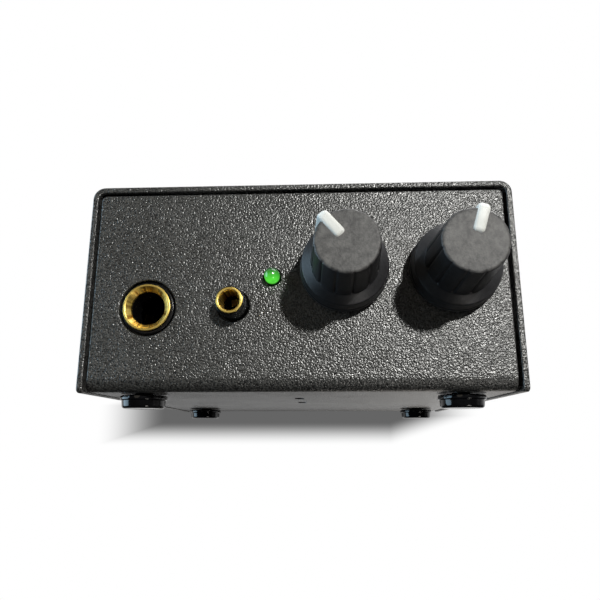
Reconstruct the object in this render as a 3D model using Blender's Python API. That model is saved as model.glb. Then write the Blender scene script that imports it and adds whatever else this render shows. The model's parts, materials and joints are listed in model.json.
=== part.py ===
"""Small desktop headphone amplifier: folded sheet case, two rotary controls, front and rear sockets.

Metres, +Z up, front towards -Y. The origin is on the surface it stands on, at the middle of its box.
Places on the panels are (across, above the tray's underside), places on the floor or on the board are
(across, behind the front face), and turned outlines are (radius, height).
"""

import math

import bmesh
import bpy
from mathutils import Matrix, Vector

MM = 0.001
GAP = 0.3 * MM
WELD = 0.001 * MM
SMOOTH_ANGLE = math.radians(35)
COARSE = 14
MEDIUM = 24
FINE = 32
BEND_STEPS = 5
EDGE_STEPS = 3
ENDS = ("front", "rear")
SIDES = (("left", -1), ("right", 1))


def millimetres(*values):
    """Several lengths at once."""
    return tuple(value * MM for value in values)


# Case: a folded tray (front, floor and rear) under a folded cover (top and sides)
CASE_WIDTH = 84.0 * MM
CASE_HEIGHT = 41.25 * MM
CASE_DEPTH = 87.0 * MM
SHEET = 1.2 * MM
TRAY_WIDTH = 80.2 * MM
TRAY_HEIGHT = 39.35 * MM
TRAY_BEND = 2.6 * MM
COVER_BEND = 2.4 * MM
COVER_DROP = 0.2 * MM
PANEL_CORNER = 1.0 * MM
FLANGE_HEIGHT = 9.0 * MM
FLANGE_ENDS = (12.0 * MM, 75.0 * MM)
FLANGE_INSET = 0.1 * MM
SLOT_WIDTH = 2.0 * MM
SLOT_LENGTH = 4.5 * MM
SLOT_PLACES = ((-0.9 * MM, 21.4 * MM), (-0.9 * MM, 35.7 * MM))

# Feet, pushed into holes in the floor
FOOT_HEIGHT = 2.8 * MM
FOOT_FLANGE = 4.6 * MM
FOOT_FLANGE_THICK = 0.9 * MM
FOOT_BODY = 4.3 * MM
FOOT_SOLE = 3.7 * MM
FOOT_ROUND = 0.45 * MM
FOOT_STEM = 1.7 * MM
FOOT_BULB = 2.5 * MM
FOOT_BULB_HEIGHT = 2.0 * MM
FOOT_PLACES = {"front": (31.4 * MM, 8.0 * MM), "rear": (32.0 * MM, 70.0 * MM)}

# Screws: thread radius, head radius and height, length under the head. The dome and the cross recess are
# in shares of the head's radius and height, the tip in shares of the thread's radius
COVER_SCREW = dict(thread=1.3 * MM, head=2.75 * MM, height=1.5 * MM, length=4.1 * MM)
COVER_SCREW_ABOVE = 5.0 * MM
COVER_SCREW_ALONG = {"front": 22.0 * MM, "rear": 65.0 * MM}
BOARD_SCREW = dict(thread=1.3 * MM, head=2.6 * MM, height=1.7 * MM, length=4.5 * MM)
SCREW_DOME = ((0, 1), (0.5, 0.97), (0.85, 0.8), (1, 0.55), (1, 0))
SCREW_TIP = 0.6
CROSS_ARM = 0.55
CROSS_GROOVE = 0.14
CROSS_FLOOR = 0.3

# Circuit board on its spacers
BOARD_TOP = 7.4 * MM
BOARD_THICK = 1.6 * MM
BOARD_HALF_WIDTH = 37.5 * MM
BOARD_ENDS = (2.5 * MM, 82.0 * MM)
SPACER_BORE = 1.65 * MM
SPACER_RADIUS = 3.0 * MM
SPACER_PLACES = {"front": (33.0 * MM, 38.0 * MM), "rear": (33.0 * MM, 61.0 * MM)}

# Rotary controls: axis place, and where the pointer stands, clockwise from straight up
CONTROLS = {
    "volume": ((8.7 * MM, 23.0 * MM), math.radians(-41)),
    "gain": ((29.5 * MM, 22.8 * MM), math.radians(17)),
}
KNOB_LIFT = 1.2 * MM
SKIRT_RADIUS = 8.45 * MM
SKIRT_WALL_TOP = 2.2 * MM
SHOULDER_RADIUS = 8.1 * MM
SHOULDER_HEIGHT = 4.9 * MM
BODY_FOOT = 6.0 * MM
BODY_FOOT_RADIUS = 6.3 * MM
CAP_HEIGHT = 17.2 * MM
CAP_RADIUS = 5.65 * MM
CAP_EDGE = 0.4 * MM
LOBES = 12
STEPS_PER_LOBE = 5
GROOVE_DEPTH = 0.28 * MM
GROOVE_SHARE = 0.6
POINTER_WIDTH = 2.1 * MM
POINTER_INNER = 1.35 * MM
POINTER_OUTER = 6.75 * MM
POINTER_FOOT = 7.7 * MM
POINTER_PROUD = 0.4 * MM
POINTER_SEAT = 0.9 * MM
POINTER_NOSE = 0.85 * MM
SHAFT_RADIUS = 3.0 * MM
SHAFT_NECK = 2.5 * MM
SHAFT_REACH = 14.5 * MM
SHAFT_CHAMFER = 0.4 * MM
BUSHING_RADIUS = 3.5 * MM
BUSHING_REACH = 4.6 * MM
BUSHING_PLATE = 8.0 * MM
BUSHING_PLATE_THICK = 1.5 * MM
POT_RADIUS = 8.2 * MM
POT_WALL = 1.0 * MM
POT_DEPTH = 8.2 * MM
POT_EDGE = 0.5 * MM
ROTOR_RADIUS = 6.0 * MM
ROTOR_THICK = 2.0 * MM
ROTOR_ROOM = 1.0 * MM
TAG_BOARD = (13.0 * MM, 3.8 * MM, 2.0 * MM)
TAG_BEHIND = 1.5 * MM
PIN_WIDTH = 1.0 * MM
PIN_THICK = 0.6 * MM
PIN_PITCH = 5.0 * MM
NUT_CORNER = 10.0 * MM / math.sqrt(3)
NUT_THICK = 2.0 * MM
WASHER_RADIUS = 5.5 * MM
WASHER_THICK = 0.5 * MM

# Headphone sockets. Reaches are out of the panel's face and depths behind it. Each contact leaf is the way
# it lies from the axis, as a turn up from the right, and its bends: out from the axis and then in depth,
# from its free end to its root
PHONE_JACK = dict(
    place=(-29.35 * MM, 16.0 * MM),
    body=(16.0 * MM, 30.5 * MM),
    above=8.5 * MM,
    front_wall=5.5 * MM,
    back_wall=1.5 * MM,
    cavity=(6.5 * MM, 5.0 * MM),
    nose=5.2 * MM,
    nose_reach=-0.2 * MM,
    bore=3.3 * MM,
    rim=4.6 * MM,
    rim_reach=0.5 * MM,
    rim_back=0.1 * MM,
    mouth=4.2 * MM,
    throat=0.45 * MM,
    tube=4.0 * MM,
    tube_end=1.0 * MM,
    leaf=(0.4 * MM, 1.6 * MM, 1.5 * MM),
    contacts={
        "ring": (math.pi, millimetres(4.4, 3.1, 3.6, 5.6), millimetres(13.2, 15.4, 18.0, 27.0)),
        "tip": (0.0, millimetres(4.4, 3.0, 3.6, 5.6), millimetres(21.0, 23.0, 25.0, 30.0)),
    },
)
MINI_JACK = dict(
    place=(-12.7 * MM, 16.3 * MM),
    body=(11.0 * MM, 13.0 * MM),
    above=5.5 * MM,
    front_wall=1.0 * MM,
    back_wall=1.2 * MM,
    cavity=(4.3 * MM, 3.0 * MM),
    nose=2.85 * MM,
    nose_reach=3.9 * MM,
    bore=1.8 * MM,
    rim=2.48 * MM,
    rim_reach=4.5 * MM,
    rim_back=4.2 * MM,
    mouth=2.05 * MM,
    throat=-4.1 * MM,
    tube=2.15 * MM,
    tube_end=0.0,
    leaf=(0.3 * MM, 1.0 * MM, 1.0 * MM),
    contacts={
        "ring": (math.pi, millimetres(2.5, 1.6, 1.9, 3.6), millimetres(4.4, 5.4, 6.4, 10.0)),
        "tip": (math.pi / 2, millimetres(2.3, 0.75, 1.2, 2.2), millimetres(2.9, 4.4, 5.8, 12.0)),
    },
)

# Indicator
LED = (-5.2 * MM, 21.9 * MM)
LED_RADIUS = 1.5 * MM
LED_STRAIGHT = 1.0 * MM
LED_FLANGE = 1.9 * MM
LED_FLANGE_THICK = 1.0 * MM
LED_BACK = 2.0 * MM
LED_LEG = 0.5 * MM
LED_LEG_SPACING = 2.54 * MM
LED_LEG_REACH = 5.0 * MM

# Rear: a pair of phono inputs and a power inlet
INPUT_PLACES = {"left": (-14.0 * MM, 16.0 * MM), "right": (-28.0 * MM, 16.0 * MM)}
INPUT_SHELL = 4.15 * MM
INPUT_SHELL_WALL = 0.5 * MM
INPUT_CONTACT = 1.7 * MM
INPUT_LEAD_IN = 0.3 * MM
INPUT_REACH = 9.5 * MM
INPUT_INSERT_REACH = 9.1 * MM
INPUT_EDGE = 0.2 * MM
INPUT_BLOCK = (24.0 * MM, 14.0 * MM, 14.0 * MM)
POWER_PLACE = (27.0 * MM, 13.9 * MM)
POWER_BODY = (9.0 * MM, 13.5 * MM, 11.5 * MM)
POWER_NOSE = 4.2 * MM
POWER_PROUD = 0.4 * MM
POWER_BORE = 3.1 * MM
POWER_BORE_DEPTH = 9.5 * MM
POWER_PIN = 1.05 * MM
POWER_PIN_ROOT = 2.7 * MM
POWER_PIN_SUNK = 1.0 * MM

# Electronics on the board
CHIP_PLACES = {"left": (-8.0 * MM, 30.0 * MM), "right": (10.0 * MM, 30.0 * MM)}
CHIP_BODY = (6.4 * MM, 9.6 * MM, 3.4 * MM)
CHIP_LIFT = 0.6 * MM
CHIP_EDGE = 0.35 * MM
CHIP_PITCH = 2.54 * MM
CHIP_PIN_WIDTH = 1.2 * MM
CHIP_PIN_THICK = 0.3 * MM
CHIP_PIN_SPREAD = 0.6 * MM
CAPACITORS = {
    "coupling_capacitor_left": ((-6.0 * MM, 46.0 * MM), 3.2 * MM, 11.0 * MM),
    "coupling_capacitor_right": ((6.0 * MM, 46.0 * MM), 3.2 * MM, 11.0 * MM),
    "reservoir_capacitor_1": ((4.0 * MM, 64.0 * MM), 5.0 * MM, 20.0 * MM),
    "reservoir_capacitor_2": ((17.0 * MM, 64.0 * MM), 5.0 * MM, 20.0 * MM),
}
CAPACITOR_EDGE = 0.5 * MM
CRIMP_HEIGHT = 2.1 * MM
REGULATOR_PLACE = (26.0 * MM, 48.0 * MM)
REGULATOR_BODY = (10.0 * MM, 4.4 * MM, 9.0 * MM)
REGULATOR_LEG = (1.0 * MM, 0.6 * MM, 4.0 * MM)
REGULATOR_TAB = (9.8 * MM, 1.3 * MM, 15.0 * MM)
REGULATOR_EYE = 1.8 * MM

# Where the case stands, worked out from the dimensions above
FRONT_REACH = CAP_HEIGHT + POINTER_PROUD
FRONT_Y = FRONT_REACH - (FRONT_REACH + CASE_DEPTH + INPUT_REACH) / 2
REAR_Y = FRONT_Y + CASE_DEPTH
BASE_Z = FOOT_HEIGHT
BEHIND_PANEL = SHEET + GAP
BOARD_Z = BASE_Z + BOARD_TOP
ON_BOARD = BOARD_Z + GAP

# Turns that point a piece's own +Z out of the front or the rear panel
OUT_FRONT = (math.pi / 2, 0, 0)
OUT_REAR = (-math.pi / 2, 0, 0)


def at_front(place):
    """World point on the front panel's face."""
    return Vector((place[0], FRONT_Y, BASE_Z + place[1]))


def at_rear(place):
    """World point on the rear panel's face."""
    return Vector((place[0], REAR_Y, BASE_Z + place[1]))


def on_board(place):
    """World point just over the board's upper side."""
    return Vector((place[0], FRONT_Y + place[1], ON_BOARD))


def corner_places(places):
    """Four places on the floor, named front_left and so on, from one (across, along) for each end."""
    return {
        f"{end}_{side}": (sign * places[end][0], FRONT_Y + places[end][1])
        for end in ENDS
        for side, sign in SIDES
    }


def linear(channel):
    """One sRGB channel, 0 to 1, as linear light."""
    return channel / 12.92 if channel <= 0.04045 else ((channel + 0.055) / 1.055) ** 2.4


def finish(name, colour, roughness, metallic=0.0):
    """A Principled material from an sRGB hex colour."""
    material = bpy.data.materials.new(name)
    material.use_nodes = True
    shader = material.node_tree.nodes["Principled BSDF"]
    channels = [linear(int(colour[start:start + 2], 16) / 255) for start in (0, 2, 4)]
    shader.inputs["Base Color"].default_value = (*channels, 1.0)
    shader.inputs["Roughness"].default_value = roughness
    shader.inputs["Metallic"].default_value = metallic
    material.diffuse_color = (*channels, 1.0)
    return material


def arc(centre, radius, start, end, steps):
    """Points on a round stretch, angles in degrees."""
    angles = [math.radians(start + (end - start) * step / steps) for step in range(steps + 1)]
    return [(centre[0] + radius * math.cos(a), centre[1] + radius * math.sin(a)) for a in angles]


def turned(outline, steps=MEDIUM):
    """Solid of revolution about Z from (radius, height) points, closed on the axis or around a bore."""
    shape = bmesh.new()
    points = [shape.verts.new((radius, 0.0, height)) for radius, height in outline]
    pairs = list(zip(points, points[1:]))
    if outline[0][0] > 0:
        pairs.append((points[-1], points[0]))
    edges = [shape.edges.new(pair) for pair in pairs]
    bmesh.ops.spin(
        shape, geom=points + edges, axis=(0, 0, 1), angle=math.tau, steps=steps, use_merge=True
    )
    bmesh.ops.remove_doubles(shape, verts=shape.verts, dist=WELD)
    bmesh.ops.recalc_face_normals(shape, faces=shape.faces)
    return shape


def extruded(outline, axis, start, end):
    """Prism: an outline in the other two axes, swept along axis 0, 1 or 2 from start to end."""
    shape = bmesh.new()
    rim = []
    for pair in outline:
        spot = list(pair)
        spot.insert(axis, start)
        rim.append(shape.verts.new(spot))
    swept = bmesh.ops.extrude_face_region(shape, geom=[shape.faces.new(rim)])
    moved = [item for item in swept["geom"] if isinstance(item, bmesh.types.BMVert)]
    along = Vector((0, 0, 0))
    along[axis] = end - start
    bmesh.ops.translate(shape, verts=moved, vec=along)
    bmesh.ops.recalc_face_normals(shape, faces=shape.faces)
    return shape


def box(one, other):
    """Block between two opposite corners."""
    shape = bmesh.new()
    low = Vector(map(min, one, other))
    high = Vector(map(max, one, other))
    sides = Matrix.Diagonal((*(high - low), 1))
    bmesh.ops.create_cube(shape, size=1, matrix=Matrix.Translation((low + high) / 2) @ sides)
    return shape


def rod(start, end, radius, sides=COARSE):
    """Round bar between two points."""
    shape = bmesh.new()
    start, end = Vector(start), Vector(end)
    turn = (end - start).to_track_quat("Z", "Y").to_matrix().to_4x4()
    bmesh.ops.create_cone(
        shape,
        cap_ends=True,
        segments=sides,
        radius1=radius,
        radius2=radius,
        depth=(end - start).length,
        matrix=Matrix.Translation((start + end) / 2) @ turn,
    )
    return shape


def moved(shape, location, turn_x=0.0):
    """A shape turned about X and set in its place."""
    place = Matrix.Translation(location) @ Matrix.Rotation(turn_x, 4, "X")
    bmesh.ops.transform(shape, matrix=place, verts=shape.verts)
    return shape


def gathered(shapes):
    """Several separate shapes in one mesh, to cut or to add together."""
    whole = bmesh.new()
    for shape in shapes:
        mesh = bpy.data.meshes.new("shape")
        shape.to_mesh(mesh)
        shape.free()
        whole.from_mesh(mesh)
        bpy.data.meshes.remove(mesh)
    return whole


def rounded(shape, radius, segments, wanted):
    """Rounds the edges that wanted() picks."""
    edges = [edge for edge in shape.edges if wanted(edge)]
    bmesh.ops.bevel(
        shape, geom=edges, offset=radius, segments=segments, profile=0.5, affect="EDGES", material=-1
    )
    return shape


def piece(name, shape, material, location=(0, 0, 0), rotation=(0, 0, 0), parent=None):
    """A named object from a bmesh."""
    mesh = bpy.data.meshes.new(name)
    shape.to_mesh(mesh)
    shape.free()
    mesh.shade_smooth()
    mesh.set_sharp_from_angle(angle=SMOOTH_ANGLE)
    mesh.materials.append(material)
    thing = bpy.data.objects.new(name, mesh)
    bpy.context.scene.collection.objects.link(thing)
    thing.location = location
    thing.rotation_euler = rotation
    thing.parent = parent
    return thing


def combine(target, shapes, operation):
    """Cuts shapes from an object, or adds them, in the object's own frame."""
    mesh = bpy.data.meshes.new(f"{target.name}_{operation.lower()}")
    shape = gathered(shapes)
    shape.to_mesh(mesh)
    shape.free()
    tool = bpy.data.objects.new(mesh.name, mesh)
    bpy.context.scene.collection.objects.link(tool)
    tool.parent = target
    tool.hide_render = True
    tool.display_type = "WIRE"
    modifier = target.modifiers.new(operation.title(), "BOOLEAN")
    modifier.operation = operation
    modifier.solver = "EXACT"
    modifier.object = tool


def cut(target, *shapes):
    combine(target, shapes, "DIFFERENCE")


def add(target, *shapes):
    combine(target, shapes, "UNION")


def tray_outline():
    """Side view of the folded tray as (along, height): outer line, then inner line back."""
    bend, inner = TRAY_BEND, TRAY_BEND - SHEET
    top, middle = BASE_Z + TRAY_HEIGHT, BASE_Z + TRAY_BEND
    outline = [(FRONT_Y, top)]
    outline += arc((FRONT_Y + bend, middle), bend, 180, 270, BEND_STEPS)
    outline += arc((REAR_Y - bend, middle), bend, 270, 360, BEND_STEPS)
    outline += [(REAR_Y, top), (REAR_Y - SHEET, top)]
    outline += arc((REAR_Y - bend, middle), inner, 360, 270, BEND_STEPS)
    outline += arc((FRONT_Y + bend, middle), inner, 270, 180, BEND_STEPS)
    return outline + [(FRONT_Y + SHEET, top)]


def panel_hole(spot, radius, sides):
    """Drill along Y through a panel, from a point on its face."""
    through = Vector((0, 2 * SHEET, 0))
    return rod(spot - through, spot + through, radius + GAP, sides)


def floor_slot(across, along):
    """Round-ended slot in the floor."""
    radius = SLOT_WIDTH / 2
    reach = SLOT_LENGTH / 2 - radius
    outline = arc((across, along + reach), radius, 0, 180, BEND_STEPS)
    outline += arc((across, along - reach), radius, 180, 360, BEND_STEPS)
    return extruded(outline, 2, BASE_Z - SHEET, BASE_Z + 2 * SHEET)


def screw_holes(inside, outside):
    """Drills for the cover screws, through what lies between two distances from the middle."""
    holes = []
    for _, sign in SIDES:
        for along in COVER_SCREW_ALONG.values():
            spot = (FRONT_Y + along, BASE_Z + COVER_SCREW_ABOVE)
            holes.append(rod((sign * inside, *spot), (sign * outside, *spot), COVER_SCREW["thread"] + GAP))
    return holes


def make_tray(material):
    """Front panel, floor and rear panel in one bent sheet, with upturned side flanges for the cover."""
    half = TRAY_WIDTH / 2
    top = BASE_Z + TRAY_HEIGHT
    shape = extruded(tray_outline(), 0, -half, half)

    def upper_corner(edge):
        one, other = (vertex.co for vertex in edge.verts)
        return min(one.z, other.z) > top - WELD and abs(one.x - other.x) < WELD

    rounded(shape, PANEL_CORNER, EDGE_STEPS, upper_corner)
    tray = piece("chassis_tray", shape, material)
    flanges = []
    for _, sign in SIDES:
        outer = sign * (half - FLANGE_INSET)
        low = (outer, FRONT_Y + FLANGE_ENDS[0], BASE_Z + SHEET / 2)
        flanges.append(box(low, (outer - sign * SHEET, FRONT_Y + FLANGE_ENDS[1], BASE_Z + FLANGE_HEIGHT)))
    add(tray, *flanges)
    holes = [
        panel_hole(at_front(PHONE_JACK["place"]), PHONE_JACK["nose"], FINE),
        panel_hole(at_front(MINI_JACK["place"]), MINI_JACK["nose"], MEDIUM),
        panel_hole(at_front(LED), LED_RADIUS, MEDIUM),
        panel_hole(at_rear(POWER_PLACE), POWER_NOSE, MEDIUM),
    ]
    holes += [panel_hole(at_front(place), BUSHING_RADIUS, COARSE) for place, _ in CONTROLS.values()]
    holes += [panel_hole(at_rear(place), INPUT_SHELL, MEDIUM) for place in INPUT_PLACES.values()]
    for spot in corner_places(FOOT_PLACES).values():
        holes.append(rod((*spot, BASE_Z - SHEET), (*spot, BASE_Z + 2 * SHEET), FOOT_STEM + GAP))
    holes += [floor_slot(across, FRONT_Y + along) for across, along in SLOT_PLACES]
    holes += screw_holes(half - 2 * SHEET, half + GAP)
    cut(tray, *holes)


def make_cover(material):
    """Top and two sides in one bent sheet, flush with the front and rear panels."""
    half, top, low = CASE_WIDTH / 2, BASE_Z + CASE_HEIGHT, BASE_Z - COVER_DROP
    bend, inner = COVER_BEND, COVER_BEND - SHEET
    outline = [(half, low)]
    outline += arc((half - bend, top - bend), bend, 0, 90, BEND_STEPS)
    outline += arc((bend - half, top - bend), bend, 90, 180, BEND_STEPS)
    outline += [(-half, low), (SHEET - half, low)]
    outline += arc((bend - half, top - bend), inner, 180, 90, BEND_STEPS)
    outline += arc((half - bend, top - bend), inner, 90, 0, BEND_STEPS)
    outline += [(half - SHEET, low)]
    cover = piece("top_cover", extruded(outline, 1, FRONT_Y, REAR_Y), material)
    cut(cover, *screw_holes(half - 2 * SHEET, half + SHEET))


def make_screw(name, material, size, location, rotation=(0, 0, 0)):
    """Pan-head screw with a cross recess: its own +Z points out of the head, and 0 is under the head."""
    thread, head, height, length = (size[part] for part in ("thread", "head", "height", "length"))
    outline = [(across * head, up * height) for across, up in SCREW_DOME]
    outline += [(thread, 0), (thread, thread / 2 - length), (SCREW_TIP * thread, -length), (0, -length)]
    screw = piece(name, turned(outline, COARSE), material, location, rotation)
    arm, groove = CROSS_ARM * head, CROSS_GROOVE * head
    plus = []
    for turn in range(4):
        spin = Matrix.Rotation(turn * math.pi / 2, 2)
        plus += [tuple(spin @ Vector(corner)) for corner in ((arm, -groove), (arm, groove), (groove, groove))]
    cut(screw, extruded(plus, 2, CROSS_FLOOR * height, 2 * height))


def make_cover_screws(material):
    for side, sign in SIDES:
        for end, along in COVER_SCREW_ALONG.items():
            place = (sign * (CASE_WIDTH / 2 + GAP), FRONT_Y + along, BASE_Z + COVER_SCREW_ABOVE)
            turn = (0, sign * math.pi / 2, 0)
            make_screw(f"cover_screw_{side}_{end}", material, COVER_SCREW, place, turn)


def make_feet(material):
    """Push-in rubber feet: sole, flange under the floor, stem through it and a bulb that holds."""
    flange_top = FOOT_HEIGHT - GAP
    flange_low = flange_top - FOOT_FLANGE_THICK
    bulb_low = FOOT_HEIGHT + SHEET + GAP
    bulb_top = bulb_low + FOOT_BULB_HEIGHT
    outline = [(0, bulb_top), (FOOT_BULB / 2, bulb_top), (FOOT_BULB, bulb_low), (FOOT_STEM, bulb_low)]
    outline += [(FOOT_STEM, flange_top), (FOOT_FLANGE, flange_top), (FOOT_FLANGE, flange_low)]
    outline += [(FOOT_BODY, flange_low)]
    outline += arc((FOOT_SOLE, FOOT_ROUND), FOOT_ROUND, 0, -90, EDGE_STEPS)
    outline += [(0, 0)]
    for name, spot in corner_places(FOOT_PLACES).items():
        piece(f"foot_{name}", turned(outline), material, (*spot, 0))


def make_board(board, brass, steel):
    """Circuit board, its spacers and its screws."""
    low = (-BOARD_HALF_WIDTH, FRONT_Y + BOARD_ENDS[0], BOARD_Z - BOARD_THICK)
    plate = piece("circuit_board", box(low, (BOARD_HALF_WIDTH, FRONT_Y + BOARD_ENDS[1], BOARD_Z)), board)
    bottom, top = BASE_Z + SHEET + GAP, BOARD_Z - BOARD_THICK - GAP
    tube = [(SPACER_BORE, top), (SPACER_RADIUS, top), (SPACER_RADIUS, bottom), (SPACER_BORE, bottom)]
    holes = []
    for name, spot in corner_places(SPACER_PLACES).items():
        piece(f"board_spacer_{name}", turned(tube, COARSE), brass, (*spot, 0))
        make_screw(f"board_screw_{name}", steel, BOARD_SCREW, (*spot, ON_BOARD))
        hole = BOARD_SCREW["thread"] + GAP
        holes.append(rod((*spot, BOARD_Z - 2 * BOARD_THICK), (*spot, BOARD_Z + BOARD_THICK), hole))
    cut(plate, *holes)


def body_radius(height):
    """Radius of a knob's tapered body at a height above the panel."""
    share = (height - BODY_FOOT) / (CAP_HEIGHT - BODY_FOOT)
    return BODY_FOOT_RADIUS + share * (CAP_RADIUS - BODY_FOOT_RADIUS)


def pointer_outline(room):
    """Side view of the pointer as (out from the axis, height), or of its seat with some room."""
    top = CAP_HEIGHT + POINTER_PROUD + 3 * room
    ledge = CAP_HEIGHT - POINTER_SEAT - room
    foot = BODY_FOOT + GAP - room
    inner_top = body_radius(ledge) - POINTER_SEAT - room
    inner_foot = body_radius(foot) - POINTER_SEAT - room
    outline = [(POINTER_INNER - room, top), (POINTER_INNER - room, ledge), (inner_top, ledge)]
    outline += [(inner_foot, foot), (POINTER_FOOT + 3 * room, foot), (POINTER_OUTER + 3 * room, top)]
    return outline


def pointer_shape(angle):
    """White fin along the knob's cap and down its side, with a rounded nose."""
    half = POINTER_WIDTH / 2
    shape = extruded(pointer_outline(0), 0, -half, half)

    def nose(edge):
        one, other = (vertex.co for vertex in edge.verts)
        return min(one.y, other.y) > POINTER_OUTER - WELD and one.x * other.x > 0

    rounded(shape, POINTER_NOSE, EDGE_STEPS, nose)
    bmesh.ops.rotate(shape, verts=shape.verts, matrix=Matrix.Rotation(-angle, 3, "Z"))
    return shape


def pointer_seat(angle):
    """Room that the knob leaves for its pointer."""
    half = POINTER_WIDTH / 2 + GAP
    shape = extruded(pointer_outline(GAP), 0, -half, half)
    bmesh.ops.rotate(shape, verts=shape.verts, matrix=Matrix.Rotation(-angle, 3, "Z"))
    return shape


def knob_shape(angle):
    """Skirt, fluted body and flat cap, still solid, with a groove under the pointer."""
    outline = [(0, CAP_HEIGHT), (CAP_RADIUS - CAP_EDGE, CAP_HEIGHT), (CAP_RADIUS, CAP_HEIGHT - CAP_EDGE)]
    outline += [(BODY_FOOT_RADIUS, BODY_FOOT), (SHOULDER_RADIUS, SHOULDER_HEIGHT)]
    outline += [(SKIRT_RADIUS, SKIRT_WALL_TOP), (SKIRT_RADIUS, KNOB_LIFT), (0, KNOB_LIFT)]
    shape = turned(outline, LOBES * STEPS_PER_LOBE)
    pitch = math.tau / LOBES
    for vertex in shape.verts:
        radius = math.hypot(vertex.co.x, vertex.co.y)
        if vertex.co.z < BODY_FOOT - WELD or radius < CAP_RADIUS - 2 * CAP_EDGE:
            continue
        turn = math.atan2(vertex.co.x, vertex.co.y) / pitch
        from_groove = 2 * abs(turn - round(turn))
        depth = GROOVE_DEPTH * (1 - min(1.0, from_groove / GROOVE_SHARE)) ** 2
        vertex.co.x *= 1 - depth / radius
        vertex.co.y *= 1 - depth / radius
    bmesh.ops.rotate(shape, verts=shape.verts, matrix=Matrix.Rotation(-angle, 3, "Z"))
    return shape


def knob_hollow():
    """Room under a knob for the nut, the bushing and the shaft."""
    nut_top = WASHER_THICK + NUT_THICK + 4 * GAP
    nut_room = NUT_CORNER + 1.5 * GAP
    bushing_top, bushing_room = BUSHING_REACH + 2 * GAP, BUSHING_RADIUS + 2 * GAP
    shaft_top, shaft_room = SHAFT_REACH + GAP, SHAFT_RADIUS + GAP
    outline = [(0, shaft_top), (shaft_room, shaft_top), (shaft_room, bushing_top)]
    outline += [(bushing_room, bushing_top), (bushing_room, nut_top), (nut_room, nut_top)]
    return turned(outline + [(nut_room, 0), (0, 0)])


def make_pot(name, centre, axis, finishes):
    """Rotary potentiometer: bushing through the panel, washer, nut, shaft with its rotor, case with pins."""
    front, back = -BEHIND_PANEL, -BEHIND_PANEL - BUSHING_PLATE_THICK
    neck, edge = SHAFT_NECK + GAP, BUSHING_RADIUS - GAP
    outline = [(neck, BUSHING_REACH), (edge, BUSHING_REACH), (BUSHING_RADIUS, BUSHING_REACH - GAP)]
    outline += [(BUSHING_RADIUS, front), (BUSHING_PLATE, front), (BUSHING_PLATE, back), (neck, back)]
    piece(f"{name}_pot_bushing", turned(outline, COARSE), finishes["zinc"], centre, OUT_FRONT)

    rotor = back - ROTOR_ROOM
    outline = [(0, SHAFT_REACH), (SHAFT_RADIUS - SHAFT_CHAMFER, SHAFT_REACH)]
    outline += [(SHAFT_RADIUS, SHAFT_REACH - SHAFT_CHAMFER), (SHAFT_RADIUS, BUSHING_REACH + GAP)]
    outline += [(SHAFT_NECK, BUSHING_REACH + GAP), (SHAFT_NECK, rotor), (ROTOR_RADIUS, rotor)]
    outline += [(ROTOR_RADIUS, rotor - ROTOR_THICK), (0, rotor - ROTOR_THICK)]
    piece(f"{name}_pot_shaft", turned(outline, COARSE), finishes["aluminium"], parent=axis)

    inner, washer_top = BUSHING_RADIUS + GAP, GAP + WASHER_THICK
    outline = [(inner, washer_top), (WASHER_RADIUS, washer_top), (WASHER_RADIUS, GAP), (inner, GAP)]
    piece(f"{name}_pot_washer", turned(outline, COARSE), finishes["nickel"], centre, OUT_FRONT)
    nut_low = washer_top + GAP
    nut_shape = extruded(arc((0, 0), NUT_CORNER, 0, 300, 5), 2, nut_low, nut_low + NUT_THICK)
    nut = piece(f"{name}_pot_nut", nut_shape, finishes["nickel"], centre, OUT_FRONT)
    cut(nut, rod((0, 0, 0), (0, 0, 2 * nut_low + NUT_THICK), inner))

    mouth, inside = back - GAP, POT_RADIUS - POT_WALL
    end = mouth - POT_DEPTH
    outline = [(0, end + POT_WALL), (inside, end + POT_WALL), (inside, mouth), (POT_RADIUS, mouth)]
    outline += [(POT_RADIUS, end + POT_EDGE), (POT_RADIUS - POT_EDGE, end), (0, end)]
    case = piece(f"{name}_pot_case", turned(outline), finishes["can"], centre, OUT_FRONT)
    width, height, thick = TAG_BOARD
    tag_top, tag_front = -inside - POT_WALL / 4, mouth - TAG_BEHIND
    tag_low = tag_top - height
    add(case, box((-width / 2, tag_low, tag_front - thick), (width / 2, tag_top, tag_front)))
    pin_middle = tag_front - thick / 2
    pins = []
    for place in (-PIN_PITCH, 0, PIN_PITCH):
        low = (place - PIN_WIDTH / 2, ON_BOARD - centre.z, pin_middle - PIN_THICK / 2)
        pins.append(box(low, (place + PIN_WIDTH / 2, tag_low + PIN_WIDTH, pin_middle + PIN_THICK / 2)))
    add(case, *pins)


def make_control(name, place, angle, finishes):
    """One potentiometer with its knob and pointer. What turns hangs on an empty on the axis."""
    centre = at_front(place)
    axis = bpy.data.objects.new(f"{name}_axis", None)
    bpy.context.scene.collection.objects.link(axis)
    axis.location = centre
    axis.rotation_euler = OUT_FRONT
    make_pot(name, centre, axis, finishes)
    knob = piece(f"{name}_knob", knob_shape(angle), finishes["knob"], parent=axis)
    cut(knob, knob_hollow(), pointer_seat(angle))
    piece(f"{name}_pointer", pointer_shape(angle), finishes["pointer"], parent=axis)


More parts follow.
